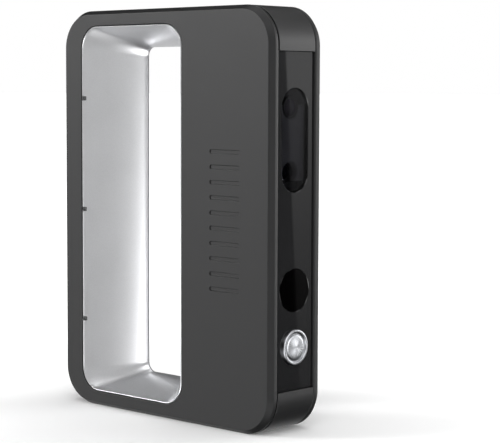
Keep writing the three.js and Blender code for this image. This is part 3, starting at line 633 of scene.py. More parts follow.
def filleted(corners: Sequence[Corner], steps: int = 4) -> list[Pair]:
    """Round the inner corners of an open section.

    Args:
        corners: The section's corners in order; the first and last are kept as they are.
        steps: Facets in each rounding.

    Returns:
        (depth, grow) points.
    """
    points = [Vector((corner.depth, corner.grow)) for corner in corners]
    section: list[Pair] = [tuple(points[0])]
    for before, here, after, corner in zip(points, points[1:], points[2:], corners[1:]):
        if corner.radius <= 0:
            section.append(tuple(here))
            continue
        back = (before - here).normalized()
        ahead = (after - here).normalized()
        half = back.angle(ahead) / 2
        reach = corner.radius / math.tan(half)
        middle = here + (back + ahead).normalized() * corner.radius / math.sin(half)
        start = (here + back * reach - middle).normalized()
        end = (here + ahead * reach - middle).normalized()
        for step in range(steps + 1):
            share = step / steps
            section.append(tuple(middle + start.slerp(end, share) * corner.radius))
    section.append(tuple(points[-1]))
    return section


def added(name: str, data: Any) -> Body:
    """A new object in the scene that holds the data."""
    made = bpy.data.objects.new(name, data)
    bpy.context.scene.collection.objects.link(made)
    return made


def skin(name: str, rings: Sequence[Ring], closed: bool = False) -> Body:
    """Make a solid through rings of equal counts.

    Args:
        name: The object's name.
        rings: The rings in order, in millimetres.
        closed: Whether the last ring joins the first; otherwise both ends are capped.

    Returns:
        The object, in metres, with its faces outwards.
    """
    mesh = bmesh.new()
    rows = [[mesh.verts.new(point * MM) for point in ring] for ring in rings]
    count = len(rows[0])
    for index in range(len(rows) if closed else len(rows) - 1):
        row, following = rows[index], rows[(index + 1) % len(rows)]
        for side in range(count):
            turn = (side + 1) % count
            mesh.faces.new((row[side], row[turn], following[turn], following[side]))
    if not closed:
        mesh.faces.new(rows[0])
        mesh.faces.new(rows[-1])
    bmesh.ops.remove_doubles(mesh, verts=mesh.verts, dist=MERGE * MM)
    bmesh.ops.recalc_face_normals(mesh, faces=mesh.faces)
    data = bpy.data.meshes.new(name)
    mesh.to_mesh(data)
    mesh.free()
    return added(name, data)


def prism(name: str, outline: Rounded, axis: Axis, section: Iterable[Pair]) -> Body:
    """Stack one outline along an axis by (depth, grow) points."""
    return skin(name, [outline.ring(axis, depth, grow) for depth, grow in section])


def turned(
    name: str,
    axis: Axis,
    centre: Pair,
    profile: Iterable[Pair],
    facets: int = 48,
    closed: bool = False,
    relief: Relief | None = None,
) -> Body:
    """Turn a profile about an axis.

    Args:
        name: The object's name.
        axis: The axis it turns about.
        centre: Where that axis is, in the plane across it.
        profile: (radius, depth) points; a first or last radius of 0 closes on the axis.
        facets: Sides of the turned body.
        closed: Whether the profile is a loop that stays clear of the axis.
        relief: Moves a (radius, depth) point by the side that it is on.

    Returns:
        The object.
    """
    rings = []
    for radius, depth in profile:
        ring = []
        for side in range(facets):
            angle = 2 * math.pi * side / facets
            reach, level = relief(radius, depth, side) if relief else (radius, depth)
            reach = max(reach, ON_AXIS)
            first, second = centre[0] + reach * math.cos(angle), centre[1] + reach * math.sin(angle)
            ring.append(axis.point(first, second, level))
        rings.append(ring)
    return skin(name, rings, closed)


def carve(body: Body, tools: Sequence[Body], cut: Cut = Cut.REMOVE) -> None:
    """Cut tools out of a body, or add them to it, and delete the tools.

    Args:
        body: The object that changes.
        tools: Objects that don't meet each other.
        cut: Whether they are taken away or joined on.
    """
    joined = bmesh.new()
    for tool in tools:
        joined.from_mesh(tool.data)
    data = bpy.data.meshes.new("tools")
    joined.to_mesh(data)
    joined.free()
    holder = added("tools", data)
    modifier = body.modifiers.new("cut", "BOOLEAN")
    modifier.operation = cut.value
    modifier.solver = "EXACT"
    modifier.object = holder
    graph = bpy.context.evaluated_depsgraph_get()
    result = bpy.data.meshes.new_from_object(body.evaluated_get(graph))
    body.modifiers.clear()
    body.data = result
    for tool in [*tools, holder]:
        bpy.data.objects.remove(tool)


def box_tool(low: Triple, high: Triple) -> Body:
    """A plain box to cut or join with."""
    corner = [(low[1], low[2]), (high[1], low[2]), (high[1], high[2]), (low[1], high[2])]
    rings = [[Vector((x, y, z)) for y, z in corner] for x in (low[0], high[0])]
    return skin("box_tool", rings)


def rods(axis: Axis, places: Iterable[Pair], radius: float, start: float, end: float) -> list[Body]:
    """Plain round rods to cut or join with, one at each place across the axis."""
    return [turned("rod_tool", axis, place, [(radius, start), (radius, end)], ROD_FACETS) for place in places]


def countersunk(face: float, back: float, rim: float) -> list[Pair]:
    """The section of a hole's cutter with a 45 degree rim at the face."""
    return [(face - PAST, rim + PAST), (face + rim, 0), (back + PAST, 0)]


def mirror(body: Body) -> None:
    """Make a left piece into its right twin."""
    body.data.transform(Matrix.Scale(-1, 4, (1, 0, 0)))
    body.data.flip_normals()


def shade(body: Body, sharp_degrees: float) -> None:
    """Smooth a body's shading, with sharp edges kept and flat faces flat."""
    mesh = bmesh.new()
    mesh.from_mesh(body.data)
    limit = math.radians(sharp_degrees)
    for face in mesh.faces:
        face.smooth = True
    for edge in mesh.edges:
        edge.smooth = len(edge.link_faces) == 2 and edge.calc_face_angle(math.pi) < limit
    mesh.to_mesh(body.data)
    mesh.free()
    weighted = body.modifiers.new("weighted", "WEIGHTED_NORMAL")
    weighted.keep_sharp = True
    weighted.weight = FLAT_FACE_WEIGHT


def present(body: Body, finish: Finish, node: str, sharp_degrees: float = 28.0) -> None:
    """Dress a new piece and tie it to the frame.

    Args:
        body: The piece.
        finish: Its material.
        node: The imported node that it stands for.
        sharp_degrees: Edges above this angle stay sharp.
    """
    body.data.materials.clear()
    body.data.materials.append(finish.material())
    shade(body, sharp_degrees)
    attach(body, ROOT)
    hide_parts(node)
    LOG.info("%s: %d faces for %s", body.name, len(body.data.polygons), node)


def dress(finish: Finish, *nodes: str) -> None:
    """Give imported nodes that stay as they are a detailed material."""
    for name in nodes:
        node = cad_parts[name]
        if not node.material_slots:
            node.data.materials.append(finish.material())
        for holder in node.material_slots:
            holder.material = finish.material()
        LOG.info("%s: dressed in %s", name, finish.name)


def numbered(stem: str, count: int) -> list[str]:
    """Names with a running number from 1."""
    return [f"{stem}_{index + 1}" for index in range(count)]


def centres(stem: str, count: int, axis: Axis) -> list[Pair]:
    """Where numbered nodes are, in the plane across an axis."""
    return [axis.across(Extent.of(name).centre) for name in numbered(stem, count)]


# ---- the housing


@dataclass
class Housing:
    """The two covers and the frame between them."""

    corner_radius: float = 16.6
    chamfer_inset: float = 1.75
    chamfer_depth: float = 2.5
    wall: float = 2.2
    seam_gap: float = 0.25
    edge_round: float = 0.35
    rim_round: float = 0.5
    seam_round: float = 1.0
    flange: float = 1.6
    flange_depth: float = 3.6
    opening_round: float = 0.25
    opening_radius: float = 10.5
    liner_gap: float = 0.25
    boss_radius: float = 3.0
    boss_bore: float = 1.27
    boss_bore_end: float = -8.4
    boss_tip: float = 1.4
    post_radius: float = 2.6
    post_bore: float = 0.97
    post_bore_depth: float = 6.0
    board_gap: float = 0.1
    bar_count: int = 10
    bar_width: float = 1.7
    bar_length: float = 17.6
    bar_depth: float = 0.45
    bar_round: float = 0.16
    bars_low: float = 58.8
    bars_high: float = 118.2
    bars_from_front: float = 26.3

    def __post_init__(self) -> None:
        """Read the overall places from the frame."""
        cover = Extent.of("left_cover")
        self.half = -cover.low.x
        self.front = cover.low.y
        self.frame_half = Extent.of("centre_frame").high.x
        self.shell = cover.outline(Axis.X, self.corner_radius)
        self.top = self.shell.high[1]
        self.opening = Extent.of("left_liner").outline(Axis.X, self.opening_radius, grow=self.liner_gap)

    def blank(self, name: str) -> Body:
        """A cover's shell on the left side: face, chamfer, rim wall and flange round the opening."""
        rim = self.half - self.frame_half - self.seam_gap
        outer = filleted([
            Corner(self.wall, -self.wall), Corner(rim, -self.wall), Corner(rim, 0, self.seam_round),
            Corner(self.chamfer_depth, 0, self.rim_round),
            Corner(0, -self.chamfer_inset, self.edge_round), Corner(0, -3 * self.chamfer_inset),
        ])[:-1]
        inner = filleted([
            Corner(0, self.flange), Corner(0, 0, self.opening_round), Corner(self.flange_depth, 0),
            Corner(self.flange_depth, self.flange), Corner(self.wall, self.flange),
        ])[1:]
        rings = [self.shell.ring(Axis.X, depth - self.half, grow) for depth, grow in outer]
        rings += [self.opening.ring(Axis.X, depth - self.half, grow) for depth, grow in inner]
        return skin(name, rings, closed=True)

    def bars(self) -> list[Body]:
        """Cutters for the debossed bars, with a rounded lip and floor."""
        y = self.front + self.bars_from_front
        pitch = (self.bars_high - self.bars_low - self.bar_width) / (self.bar_count - 1)
        lip, reach, half = self.bar_round, self.bar_length / 2, self.bar_width / 2
        section = [(-PAST, lip)] + filleted([
            Corner(0, 2 * lip), Corner(0, 0, lip), Corner(self.bar_depth, 0, lip),
            Corner(self.bar_depth, -2 * lip),
        ])[1:-1]
        section = [(depth - self.half, grow) for depth, grow in section]
        cutters = []
        for index in range(self.bar_count):
            z = self.bars_low + half + pitch * index
            slot = Rounded((y - reach, z - half), (y + reach, z + half), half, 8)
            cutters.append(prism("bar_tool", slot, Axis.X, section))
        return cutters

    def build_covers(self) -> None:
        """Both covers, with their screw bosses and board posts."""
        root = self.wall - OVERLAP - self.half
        left = self.blank("left_cover_shell")
        carve(left, self.bars())
        bosses = centres("cover_screw", 6, Axis.X)
        carve(left, rods(Axis.X, bosses, self.boss_radius, root, -self.boss_tip), Cut.ADD)
        carve(left, rods(Axis.X, bosses, self.boss_bore, self.boss_bore_end, 0))
        present(left, COVER_PLASTIC, "left_cover")

        right = self.blank("right_cover_shell")
        mirror(right)
        posts = centres("board_screw", 4, Axis.X)
        tip = Extent.of("main_board").high.x + self.board_gap
        carve(right, rods(Axis.X, posts, self.post_radius, tip, -root), Cut.ADD)
        carve(right, rods(Axis.X, posts, self.post_bore, tip - PAST, tip + self.post_bore_depth))
        present(right, COVER_PLASTIC, "right_cover")

    def build(self) -> None:
        """The whole housing."""
        self.build_covers()
        CentreFrame(self).build()


@dataclass
class CentreFrame:
    """The band between the covers, with its web, window ledge, screw bosses and seats."""

    housing: Housing
    web_half: float = 1.25
    web_front: float = -9.4
    web_back: float = 28.7
    web_end: float = 14.6
    web_radius: float = 6.7
    edge_round: float = 0.25
    bay_half: float = 2.5
    bay_end: float = 12.5
    bay_margin: float = 4.0
    bay_to_opening: float = 5.0
    ledge: float = 2.0
    ledge_front: float = 1.3
    ledge_margin: float = 0.5
    ledge_opening: Rounded = Rounded((-8.7, 46.5), (8.7, 148.0), 2.0, 6)
    window_fit: float = 0.15
    bench_fit: float = 0.1
    bench_boss_radius: float = 2.4
    gland_gap: float = 0.12
    gland_seat: float = 1.1
    gland_step: float = 1.3
    gland_tail: float = 4.0
    insert_wall: float = 2.5
    insert_floor: float = 1.5
    insert_fit: float = 0.1

    def band(self) -> Body:
        """The band and the web inside it, as one closed ring."""
        shell, half, wall, web = self.housing.shell, self.housing.frame_half, self.housing.wall, self.web_half
        crest = Rounded(
            (self.web_front, self.web_end), (self.web_back, self.housing.top - self.web_end), self.web_radius
        )
        outer = filleted([
            Corner(-half, -wall), Corner(-half, 0, self.edge_round), Corner(half, 0, self.edge_round),
            Corner(half, -wall), Corner(web, -wall),
        ])
        rings = [shell.ring(Axis.X, depth, grow) for depth, grow in outer]
        rings += [crest.ring(Axis.X, web), crest.ring(Axis.X, -web), shell.ring(Axis.X, -web, -wall)]
        return skin("centre_frame_band", rings, closed=True)

    def build(self) -> None:
        """Cut and join the frame's features in the order that a mould would."""
        body = self.band()
        self._cut_window_seat(body)
        self._seat_gland(body)
        self._seat_insert(body)
        present(body, FRAME_PLASTIC, "centre_frame")

    def _cut_window_seat(self, body: Body) -> None:
        """Open the web for the bay, and add the window's ledge and the bench's bosses."""
        housing, half = self.housing, self.housing.frame_half
        window, seat = Extent.of("front_window"), Extent.of("window_gasket").high.y
        low, high = self.bay_end, housing.top - self.bay_end
        back, margin, fit = seat + self.ledge, self.ledge_margin, self.window_fit
        bay_back = housing.opening.low[0] - self.bay_to_opening
        bay = box_tool((-self.bay_half, back - self.bay_margin, low), (self.bay_half, bay_back, high))
        carve(body, [bay])
        ledge = box_tool((-half, housing.front + self.ledge_front, low - margin), (half, back, high + margin))
        carve(body, [ledge], Cut.ADD)
        recess = box_tool(
            (-half - PAST, housing.front - PAST, window.low.z - fit), (half + PAST, seat, window.high.z + fit)
        )
        carve(body, [recess])
        through = [(seat - PAST, 0.0), (back + PAST, 0.0)]
        carve(body, [prism("through_tool", self.ledge_opening, Axis.Y, through)])
        bench = Extent.of("optical_bench").low.y - self.bench_fit
        screws = centres("bench_screw", 4, Axis.Y)
        carve(body, rods(Axis.Y, screws, self.bench_boss_radius, back - OVERLAP, bench), Cut.ADD)

    def _seat_gland(self, body: Body) -> None:
        """Bore the back wall for the gland's flange and body."""
        gland = Extent.of("cable_gland")
        place, face = [Axis.Y.across(gland.centre)], gland.high.y
        radius = gland.radius + self.gland_gap
        carve(body, rods(Axis.Y, place, radius, face - self.gland_seat, face + PAST))
        carve(body, rods(Axis.Y, place, radius - self.gland_step, gland.low.y - self.gland_tail, face))

    def _seat_insert(self, body: Body) -> None:
        """Add the boss in the base and bore it for the threaded insert."""
        insert = Extent.of("tripod_insert")
        place, top, fit = [Axis.Z.across(insert.centre)], insert.high.z, self.insert_fit
        root = self.housing.wall - OVERLAP
        boss = rods(Axis.Z, place, insert.radius + self.insert_wall, root, top + self.insert_floor)
        carve(body, boss, Cut.ADD)
        carve(body, rods(Axis.Z, place, insert.radius + fit, -PAST, top + fit))


# ---- the opening's liner


@dataclass
class OpeningLiner:
    """The silver lining of the finger opening: two halves that lean in to a crest, and their clips."""

    housing: Housing
    lip: float = 0.6
    lip_drop: float = 0.05
    lip_section: tuple[Pair, ...] = ((0.13, 0.2), (0.0, 0.5), (0.13, 0.8))
    handle_flare: float = 27.2
    end_flare: float = 9.5
    sensor_flare: float = 7.0
    crest_radius: float = 4.2
    power: float = 1.34
    wall: float = 2.0
    setback: float = 1.3
    lip_setback: float = 0.6
    crest_gap: float = 0.15
    steps: int = 22
    notch_radius: float = 0.35
    clip_radius: float = 0.3
    clip_fit: float = 0.1
    clip_round: float = 0.2

    def leaning(self, share: float, outwards: float = 0.0) -> Rounded:
        """The opening's outline part of the way from a face to the crest.

        Args:
            share: 0 at the face and 1 at the crest.
            outwards: Offset into the wall.

        Returns:
            The outline.
        """
        opening = self.housing.opening
        start = self.housing.liner_gap + self.lip
        lean = 1 - (1 - share) ** self.power
        front, end, back = (
            start + (flare - start) * lean - outwards
            for flare in (self.sensor_flare, self.end_flare, self.handle_flare)
        )
        radius = (opening.radius - start) * (1 - lean) + self.crest_radius * lean + outwards
        low = (opening.low[0] + front, opening.low[1] + end)
        high = (opening.high[0] - back, opening.high[1] - end)
        return Rounded(low, high, radius)

    def half(self, name: str) -> Body:
        """The left half of the liner, lip first."""
        opening, gap, lip = self.housing.opening, self.housing.liner_gap, self.lip
        face = -self.housing.half + self.lip_drop
        start = face + lip / 2
        length = -self.crest_gap - start
        shares = [index / self.steps for index in range(self.steps + 1)]
        rings = [opening.ring(Axis.X, start, -gap)]
        rings += [
            opening.ring(Axis.X, face + lip * deep, -gap - lip * inset) for deep, inset in self.lip_section
        ]
        rings += [self.leaning(share).ring(Axis.X, start + length * share) for share in shares]
        for share in reversed(shares):
            setback = self.setback * (1 - share) * (1 if share else self.lip_setback)
            outline = self.leaning(share, lip + (self.wall - lip) * share)
            rings.append(outline.ring(Axis.X, start + length * share + setback))
        return skin(name, rings, closed=True)

    def notch(self, clip: str) -> Body:
        """The cutter for one clip's notch."""
        extent = Extent.of(clip)
        outline = extent.outline(Axis.X, self.notch_radius, 4, self.clip_fit)
        side = -1 if extent.centre.x < 0 else 1
        deep = min(abs(extent.low.x), abs(extent.high.x)) - self.clip_fit
        section = [(side * (self.housing.half + PAST), 0.0), (side * deep, 0.0)]
        return prism("notch_tool", outline, Axis.X, section)

    def clip(self, node: str) -> Body:
        """One rounded clip hook in its notch."""
        extent, soft = Extent.of(node), self.clip_round
        section = filleted([
            Corner(extent.low.x, -3 * soft), Corner(extent.low.x, 0, soft),
            Corner(extent.high.x, 0, soft), Corner(extent.high.x, -3 * soft),
        ])
        return prism(f"{node}_hook", extent.outline(Axis.X, self.clip_radius, steps=4), Axis.X, section)

    def build(self) -> None:
        """Both halves and all six clips."""
        for side in ("left", "right"):
            half = self.half(f"{side}_liner_half")
            if side == "right":
                mirror(half)
            clips = numbered(f"{side}_liner_clip", 3)
            carve(half, [self.notch(clip) for clip in clips])
            present(half, LINER_SILVER, f"{side}_liner", sharp_degrees=40.0)
            for clip in clips:
                present(self.clip(clip), CLIP_PLASTIC, clip)


# ---- the front window


@dataclass
class FrontWindow:
    """The glossy panel with its slot and round hole, the glass, the filter and the medallion."""

    panel_radius: float = 0.5
    slot_radius: float = 8.05
    hole_radius: float = 9.1
    edge_round: float = 0.12
    glass_round: float = 0.15
    medallion_ring: float = 1.3
    ring_rounds: Pair = (0.4, 0.3)
    groove_depth: float = 0.62
    groove: Pair = (0.1, 0.7)
    groove_round: float = 0.15
    dome_edge: float = 0.4
    dome_height: float = 0.3
    dome_inset: float = 1.0
    dome_steps: int = 8
    dome_margin: float = 0.1
    flutes: int = 24
    flute_depth: float = 0.07
    facets_per_flute: int = 6

    def build_panel(self) -> None:
        """The panel, with softened edges all round."""
        panel, glass = Extent.of("front_window"), Extent.of("camera_glass")
        soft, face, back = self.edge_round, panel.low.y, panel.high.y
        section = [(face, -soft), (face + soft, 0), (back, 0)]
        body = prism("front_window_panel", panel.outline(Axis.Y, self.panel_radius, steps=6), Axis.Y, section)
        slot = glass.outline(Axis.Y, self.slot_radius, grow=self.slot_radius - glass.radius)
        hole = Rounded.circle(Axis.Y.across(Extent.of("projector_filter").centre), self.hole_radius)
        flared = countersunk(face, back, soft)
        carve(body, [prism("slot_tool", slot, Axis.Y, flared), prism("hole_tool", hole, Axis.Y, flared)])
        present(body, WINDOW_GLOSS, "front_window")

    def build_glass(self) -> None:
        """The clear glass in the slot."""
        glass, soft = Extent.of("camera_glass"), self.glass_round
        face, back = glass.low.y, glass.high.y
        section = [(face, -soft), (face + soft, 0), (back - soft, 0), (back, -soft)]
        pane = prism("camera_glass_pane", glass.outline(Axis.Y, glass.radius), Axis.Y, section)
        present(pane, CLEAR_WINDOW, "camera_glass")

    def build_filter(self) -> None:
        """The deep black filter in the round hole."""
        extent, soft = Extent.of("projector_filter"), self.edge_round
        radius, face, back = extent.radius, extent.low.y, extent.high.y
        profile = [(0, face), (radius - soft, face), (radius, face + soft), (radius, back), (0, back)]
        disc = turned("projector_filter_disc", Axis.Y, Axis.Y.across(extent.centre), profile, facets=64)
        present(disc, FILTER_GLOSS, "projector_filter")

    def build_medallion(self) -> None:
        """A plain round medallion: a rolled ring, a groove and a low fluted dome."""
        extent = Extent.of("badge")
        radius, front, back = extent.radius, extent.low.y, extent.high.y
        inner, facets = radius - self.medallion_ring, self.flutes * self.facets_per_flute
        edge, floor = front + self.dome_edge, front + self.groove_depth
        outer_round, inner_round = self.ring_rounds
        groove_start, groove_end = self.groove
        ring = filleted([
            Corner(back, radius), Corner(front, radius, outer_round), Corner(front, inner, inner_round),
            Corner(floor, inner - groove_start, self.groove_round),
            Corner(floor, inner - groove_end, self.groove_round), Corner(edge, inner - self.dome_inset),
        ])
        turns = [step / self.dome_steps * math.pi / 2 for step in range(1, self.dome_steps + 1)]
        span = inner - self.dome_inset
        dome = [(edge - self.dome_height * math.sin(turn), span * math.cos(turn)) for turn in turns]

        def fluted(reach: float, depth: float, side: int) -> Pair:
            """Sink the flutes into the dome, and leave the rest as it is."""
            if reach >= span - self.dome_margin or depth >= edge + OVERLAP:
                return reach, depth
            angle = 2 * math.pi * side / facets
            wave = abs(math.sin(angle * self.flutes / 2))
            return reach, depth + self.flute_depth * math.sin(math.pi * reach / span) * wave

        profile = [(reach, depth) for depth, reach in [(back, 0.0), *ring, *dome]]
        place = Axis.Y.across(extent.centre)
        body = turned("medallion", Axis.Y, place, profile, facets, relief=fluted)
        present(body, BADGE_METAL, "badge", sharp_degrees=50.0)

    def build(self) -> None:
        """The window and all that sits in it."""
        self.build_panel()
        self.build_glass()
        self.build_filter()
        self.build_medallion()
        dress(GASKET_FOAM, "window_gasket")


# ---- the optics


@dataclass(frozen=True)
class LensUnit:
    """One camera or the projector: its name, glass radius, finish and ribs."""

    name: str
    glass_radius: float
    finish: Finish
    rings: int
    throat: float = 0.55
    chamfer: float = 0.3
    groove: float = 0.12
    ribs_margin: float = 2.4
    ribs_inset: float = 0.8
    mouth: float = 0.35
    mouth_step: Pair = (0.1, 0.25)
    crown: float = 0.6
    dome_steps: int = 10
    facets: int = 56

    def build(self) -> None:
        """Ribbed barrel and a crowned lens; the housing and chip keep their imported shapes."""
        barrel, lens = Extent.of(f"{self.name}_barrel"), Extent.of(f"{self.name}_lens")
        place, radius, glass = Axis.Y.across(barrel.centre), barrel.radius, self.glass_radius
        front, back, seat = barrel.low.y, barrel.high.y, lens.high.y + OVERLAP
        throat, neck = glass * self.throat, radius - self.groove
        step, deep = self.mouth_step
        profile = [(throat, back), (radius - self.chamfer, back), (radius, back - self.chamfer)]
        pitch = (back - front - self.ribs_margin) / self.rings
        for index in range(self.rings):
            y = back - self.ribs_inset - pitch * index
            ribs = ((radius, 0.0), (neck, 0.25), (neck, 0.5), (radius, 0.75))
            profile += [(reach, y - pitch * share) for reach, share in ribs]
        profile += [
            (radius, front + self.mouth), (neck, front + step), (radius - self.mouth, front),
            (glass + self.mouth, front), (glass + self.groove, front + deep), (glass + step, seat),
            (throat, seat),
        ]
        tube = turned(f"{self.name}_barrel_tube", Axis.Y, place, profile, self.facets, closed=True)
        present(tube, OPTIC_PLASTIC, f"{self.name}_barrel")
        turns = [index / self.dome_steps * math.pi / 2 for index in range(self.dome_steps + 1)]
        dome = [(glass * math.sin(turn), lens.low.y + self.crown * (1 - math.cos(turn))) for turn in turns]
        dome += [(glass, lens.high.y), (0, lens.high.y)]
        crowned = turned(f"{self.name}_lens_glass", Axis.Y, place, dome, self.facets)
        present(crowned, self.finish, f"{self.name}_lens", sharp_degrees=50.0)


@dataclass
class Optics:
    """The bezel behind the glass, the three optical units and their bench."""

    bezel_radius: float = 0.3
    bezel_edge: float = 0.15
    infrared_fit: float = 0.2
    colour_hole: float = 4.4
    rim: float = 0.5

    def build_bezel(self) -> None:
        """The bezel, with a countersunk rim round the colour camera's hole."""
        bezel = Extent.of("camera_bezel")
        infrared, colour = Extent.of("infrared_camera_barrel"), Extent.of("colour_camera_barrel")
        face, back, edge = bezel.low.y, bezel.high.y, self.bezel_edge
        section = [(face, -edge), (face + edge, 0), (back, 0)]
        body = prism("camera_bezel_plate", bezel.outline(Axis.Y, self.bezel_radius, steps=3), Axis.Y, section)
        straight = [(face - PAST, 0), (back + PAST, 0)]
        infrared_hole = Rounded.circle((0, infrared.centre.z), infrared.radius + self.infrared_fit)
        colour_hole = Rounded.circle((0, colour.centre.z), self.colour_hole)
        holes = [
            prism("infrared_tool", infrared_hole, Axis.Y, straight),
            prism("colour_tool", colour_hole, Axis.Y, countersunk(face, back, self.rim)),
        ]
        carve(body, holes)
        present(body, BEZEL_PLASTIC, "camera_bezel")

    def build(self) -> None:
        """Bezel, lens units and the dressed inner parts."""
        self.build_bezel()
        units = (
            LensUnit("infrared_camera", 3.6, PURPLE_LENS, 5),
            LensUnit("colour_camera", 2.9, DARK_LENS, 3),
            LensUnit("projector", 4.8, DARK_LENS, 6),
        )
        for unit in units:
            unit.build()
        dress(OPTIC_PLASTIC, *(f"{unit.name}_housing" for unit in units))
        dress(CHIP, "infrared_camera_chip", "colour_camera_chip")
        dress(INSERT_BRASS, "projector_chip")
        dress(BENCH_ALUMINIUM, "optical_bench")


# ---- electronics and fixings


@dataclass
class Electronics:
    """The main board and all that is soldered or pressed on to it."""

    finishes: tuple[tuple[Finish, tuple[str, ...]], ...] = (
        (CIRCUIT_BOARD, ("main_board",)),
        (CHIP, ("depth_processor", "memory_chip", "flash_chip")),
        (CONNECTOR_NYLON, ("sensor_connector", "cable_header")),
        (SHIELD_METAL, ("shield_can",)),
        (GASKET_FOAM, ("thermal_pad",)),
        (BENCH_ALUMINIUM, ("heat_spreader",)),
    )

    def build(self) -> None:
        """Dress every part in its finish."""
        for finish, nodes in self.finishes:
            dress(finish, *nodes)


@dataclass
class Fixings:
    """Screws, the cable gland in the back wall and the threaded insert in the base."""

    gland_bore: float = 2.3
    gland_step: float = 1.3
    gland_seat: float = 1.08
    gland_tail: Pair = (0.4, 0.6)
    gland_flange: tuple[Pair, ...] = (
        (0.0, 0.35), (0.12, 0.1), (0.4, 0.0), (1.2, 0.0), (1.5, 0.3), (1.8, 0.3), (2.0, 0.0)
    )
    gland_lip: tuple[Pair, ...] = ((0.4, 0.0), (0.05, 0.25), (0.0, 0.7))
    insert_bore: float = 2.55
    insert_chamfer: float = 0.3
    insert_mouth: float = 0.6
    insert_step: Pair = (0.1, 0.5)
    insert_floor: float = 1.4
    thread_pitch: float = 1.27
    thread_depth: float = 0.45
    thread_margin: float = 1.6
    rows_per_turn: int = 6
    insert_facets: int = 36

    def build_gland(self) -> None:
        """A flush rubber gland: rolled flange, grooved body and a flexible inner lip."""
        gland = Extent.of("cable_gland")
        flange, bore = gland.radius, self.gland_bore
        face, tail = gland.high.y, gland.low.y
        neck, seat = flange - self.gland_step, face - self.gland_seat
        inset, rise = self.gland_tail
        section = [(bore, tail), (neck - inset, tail), (neck, tail + rise), (neck, seat), (flange, seat)]
        section += [(flange - inset, face - drop) for inset, drop in self.gland_flange]
        section += [(bore + out, face - drop) for out, drop in self.gland_lip]
        place = Axis.Y.across(gland.centre)
        body = turned("cable_gland_body", Axis.Y, place, section, closed=True)
        present(body, GLAND_RUBBER, "cable_gland")

    def build_insert(self) -> None:
        """The brass insert, with a chamfered mouth and a helical thread in its bore."""
        insert = Extent.of("tripod_insert")
        outer, bore, chamfer, mouth = insert.radius, self.insert_bore, self.insert_chamfer, self.insert_mouth
        low, high = insert.low.z, insert.high.z
        rows = int((high - low - self.thread_margin) / self.thread_pitch * self.rows_per_turn)
        thread = high - low - self.thread_margin - mouth
        step, deep = self.insert_step
        profile = [
            (0, high), (outer - chamfer, high), (outer, high - chamfer), (outer, low + chamfer),
            (outer - chamfer, low), (bore + mouth, low), (bore + step, low + deep),
        ]
        profile += [(bore, low + mouth + thread * row / rows) for row in range(rows + 1)]
        profile.append((0, high - self.insert_floor))

        def threaded(radius: float, z: float, side: int) -> Pair:
            """Sink the thread's groove into the bore, and leave the rest as it is."""
            if radius != bore:
                return radius, z
            phase = (z - low) / self.thread_pitch - side / self.insert_facets
            return radius + self.thread_depth * abs(2 * (phase % 1) - 1), z

        place = Axis.Z.across(insert.centre)
        body = turned("tripod_insert_body", Axis.Z, place, profile, self.insert_facets, relief=threaded)
        present(body, INSERT_BRASS, "tripod_insert")

    def build(self) -> None:
        """Gland, insert and all the screws."""
        self.build_gland()
        self.build_insert()
        screws = [*numbered("board_screw", 4), *numbered("cover_screw", 6), *numbered("bench_screw", 4)]
        dress(SCREW_STEEL, *screws)


# ---- the studio


def direction(azimuth: float, elevation: float) -> Vector:
    """The unit vector at two angles in degrees. Azimuth 0 is -Y and 90 is +X."""
    a, e = math.radians(azimuth), math.radians(elevation)
    return Vector((math.sin(a) * math.cos(e), -math.cos(a) * math.cos(e), math.sin(e)))


@dataclass(frozen=True)
class Softbox:
    """A square area light aimed at a point, in metres and watts."""

    name: str
    place: Triple
    aim: Triple
    side: float
    power: float

    def build(self) -> None:
        """Add the light."""
        data = bpy.data.lights.new(self.name, "AREA")
        data.size = self.side
        data.energy = self.power
        light = added(self.name, data)
        light.location = self.place
        light.rotation_mode = "QUATERNION"
        light.rotation_quaternion = (Vector(self.aim) - Vector(self.place)).to_track_quat("-Z", "Y")
        light.visible_camera = False


@dataclass(frozen=True)
class Glow:
    """A soft patch of light in the surroundings.

    Its direction and spread are in degrees. A horizon above 0 ends it softly at eye level, over
    that share of a unit height each way.
    """

    azimuth: float
    elevation: float
    spread: float
    strength: float
    horizon: float = 0.0


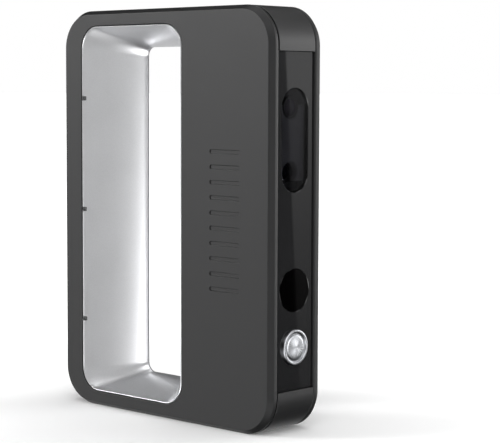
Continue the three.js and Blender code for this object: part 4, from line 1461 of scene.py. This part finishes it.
@dataclass
class Studio:
    """Camera, pale floor, dark surroundings with soft glows, and one soft light."""

    camera_place: Triple = (-0.50838, -0.51880, 0.14385)
    azimuth: float = -46.59
    elevation: float = 4.60
    roll: float = 0.2
    lens_mm: float = 119.37
    sensor_mm: float = 36.0
    clip: Pair = (0.01, 200.0)
    floor_side: float = 60.0
    backdrop_edge: Triple = (0.6703, 0.7407, 0.0464)
    backdrop_blur: float = 0.0006
    backdrop_end: Triple = (-0.087, -0.996, 0.0)
    backdrop_fade: float = 0.3
    backdrop: float = 0.8
    falloff: float = 0.09
    gloom: float = 0.002
    glows: tuple[Glow, ...] = (
        Glow(140, -25, 45, 0.75),
        Glow(-135, 18, 17, 19.5, 0.05),
        Glow(-135, -25, 35, 1.7),
        Glow(-45, 42, 25, 4.0),
        Glow(-50, -30, 30, 6.0),
        Glow(16, 4, 28, 6.0),
        Glow(-82, 3, 26, 0.55),
        Glow(-85, 45, 28, 0.25),
        Glow(55, 20, 30, 0.25, 0.05),
        Glow(68, 5, 19, 7.0),
    )
    overhead: Softbox = Softbox("overhead", (0.34, -0.02, 1.5), (0, 0, 0.05), 1.4, 11.5)

    def build_camera(self) -> None:
        """The camera, a little above the part's middle and off its front left edge."""
        data = bpy.data.cameras.new("camera")
        data.lens = self.lens_mm
        data.sensor_width = self.sensor_mm
        data.clip_start, data.clip_end = self.clip
        camera = added("camera", data)
        a, r = math.radians(self.azimuth), math.radians(self.roll)
        back = direction(self.azimuth, self.elevation)
        right = Vector((math.cos(a), math.sin(a), 0))
        up = back.cross(right)
        side = right * math.cos(r) + up * math.sin(r)
        top = -right * math.sin(r) + up * math.cos(r)
        turn = Matrix((side, top, back)).transposed()
        camera.matrix_world = Matrix.Translation(self.camera_place) @ turn.to_4x4()
        bpy.context.scene.camera = camera

    def build_floor(self) -> None:
        """A wide pale floor that the part stands on."""
        half = self.floor_side / 2
        mesh = bpy.data.meshes.new("floor")
        corners = [(-half, -half, 0), (half, -half, 0), (half, half, 0), (-half, half, 0)]
        mesh.from_pydata(corners, [], [(0, 1, 2, 3)])
        mesh.materials.append(StudioFloor().material())
        floor = added("floor", mesh)
        floor.visible_glossy = False

    def build_world(self) -> None:
        """Surroundings: a straight-edged backdrop and soft glows, white to the camera itself."""
        world = bpy.data.worlds.new("studio")
        world.use_nodes = True
        bpy.context.scene.world = world
        tree = Tree(world.node_tree)
        view = tree.node("ShaderNodeTexCoord", output="Generated")
        height = tree.split(view, "Z")
        fade = (height / self.falloff).exponential().at_most(1.0)
        across = tree.vector("DOT_PRODUCT", view, self.backdrop_edge, "Value")
        beyond = tree.vector("DOT_PRODUCT", view, self.backdrop_end, "Value")
        edge = across.smooth(-self.backdrop_blur, self.backdrop_blur)
        level = edge * beyond.smooth(0.0, self.backdrop_fade) * fade * self.backdrop + self.gloom
        for glow in self.glows:
            aim = direction(glow.azimuth, glow.elevation)
            towards = tree.vector("DOT_PRODUCT", view, aim, "Value")
            patch = towards.smooth(math.cos(math.radians(glow.spread)), 1.0) * glow.strength
            level = level + (patch * height.smooth(-glow.horizon, glow.horizon) if glow.horizon else patch)
        seen = tree.node("ShaderNodeLightPath", output="Is Camera Ray")
        strength = level * (1 - seen) + seen
        background = tree.node("ShaderNodeBackground", {}, {"Color": (1, 1, 1, 1), "Strength": strength})
        tree.finish(background, "ShaderNodeOutputWorld")

    def build(self) -> None:
        """The whole studio."""
        self.build_camera()
        self.build_floor()
        self.build_world()
        self.overhead.build()
        bpy.context.scene.view_settings.view_transform = "Standard"


# ---- assembly


def main() -> None:
    """Build the studio and every sub-assembly in order."""
    logging.basicConfig(level=logging.INFO, format="%(name)s: %(message)s")
    Studio().build()
    housing = Housing()
    for assembly in (housing, OpeningLiner(housing), FrontWindow(), Optics(), Electronics(), Fixings()):
        assembly.build()
        LOG.info("%s built", type(assembly).__name__)


if __name__ == "__main__":
    main()
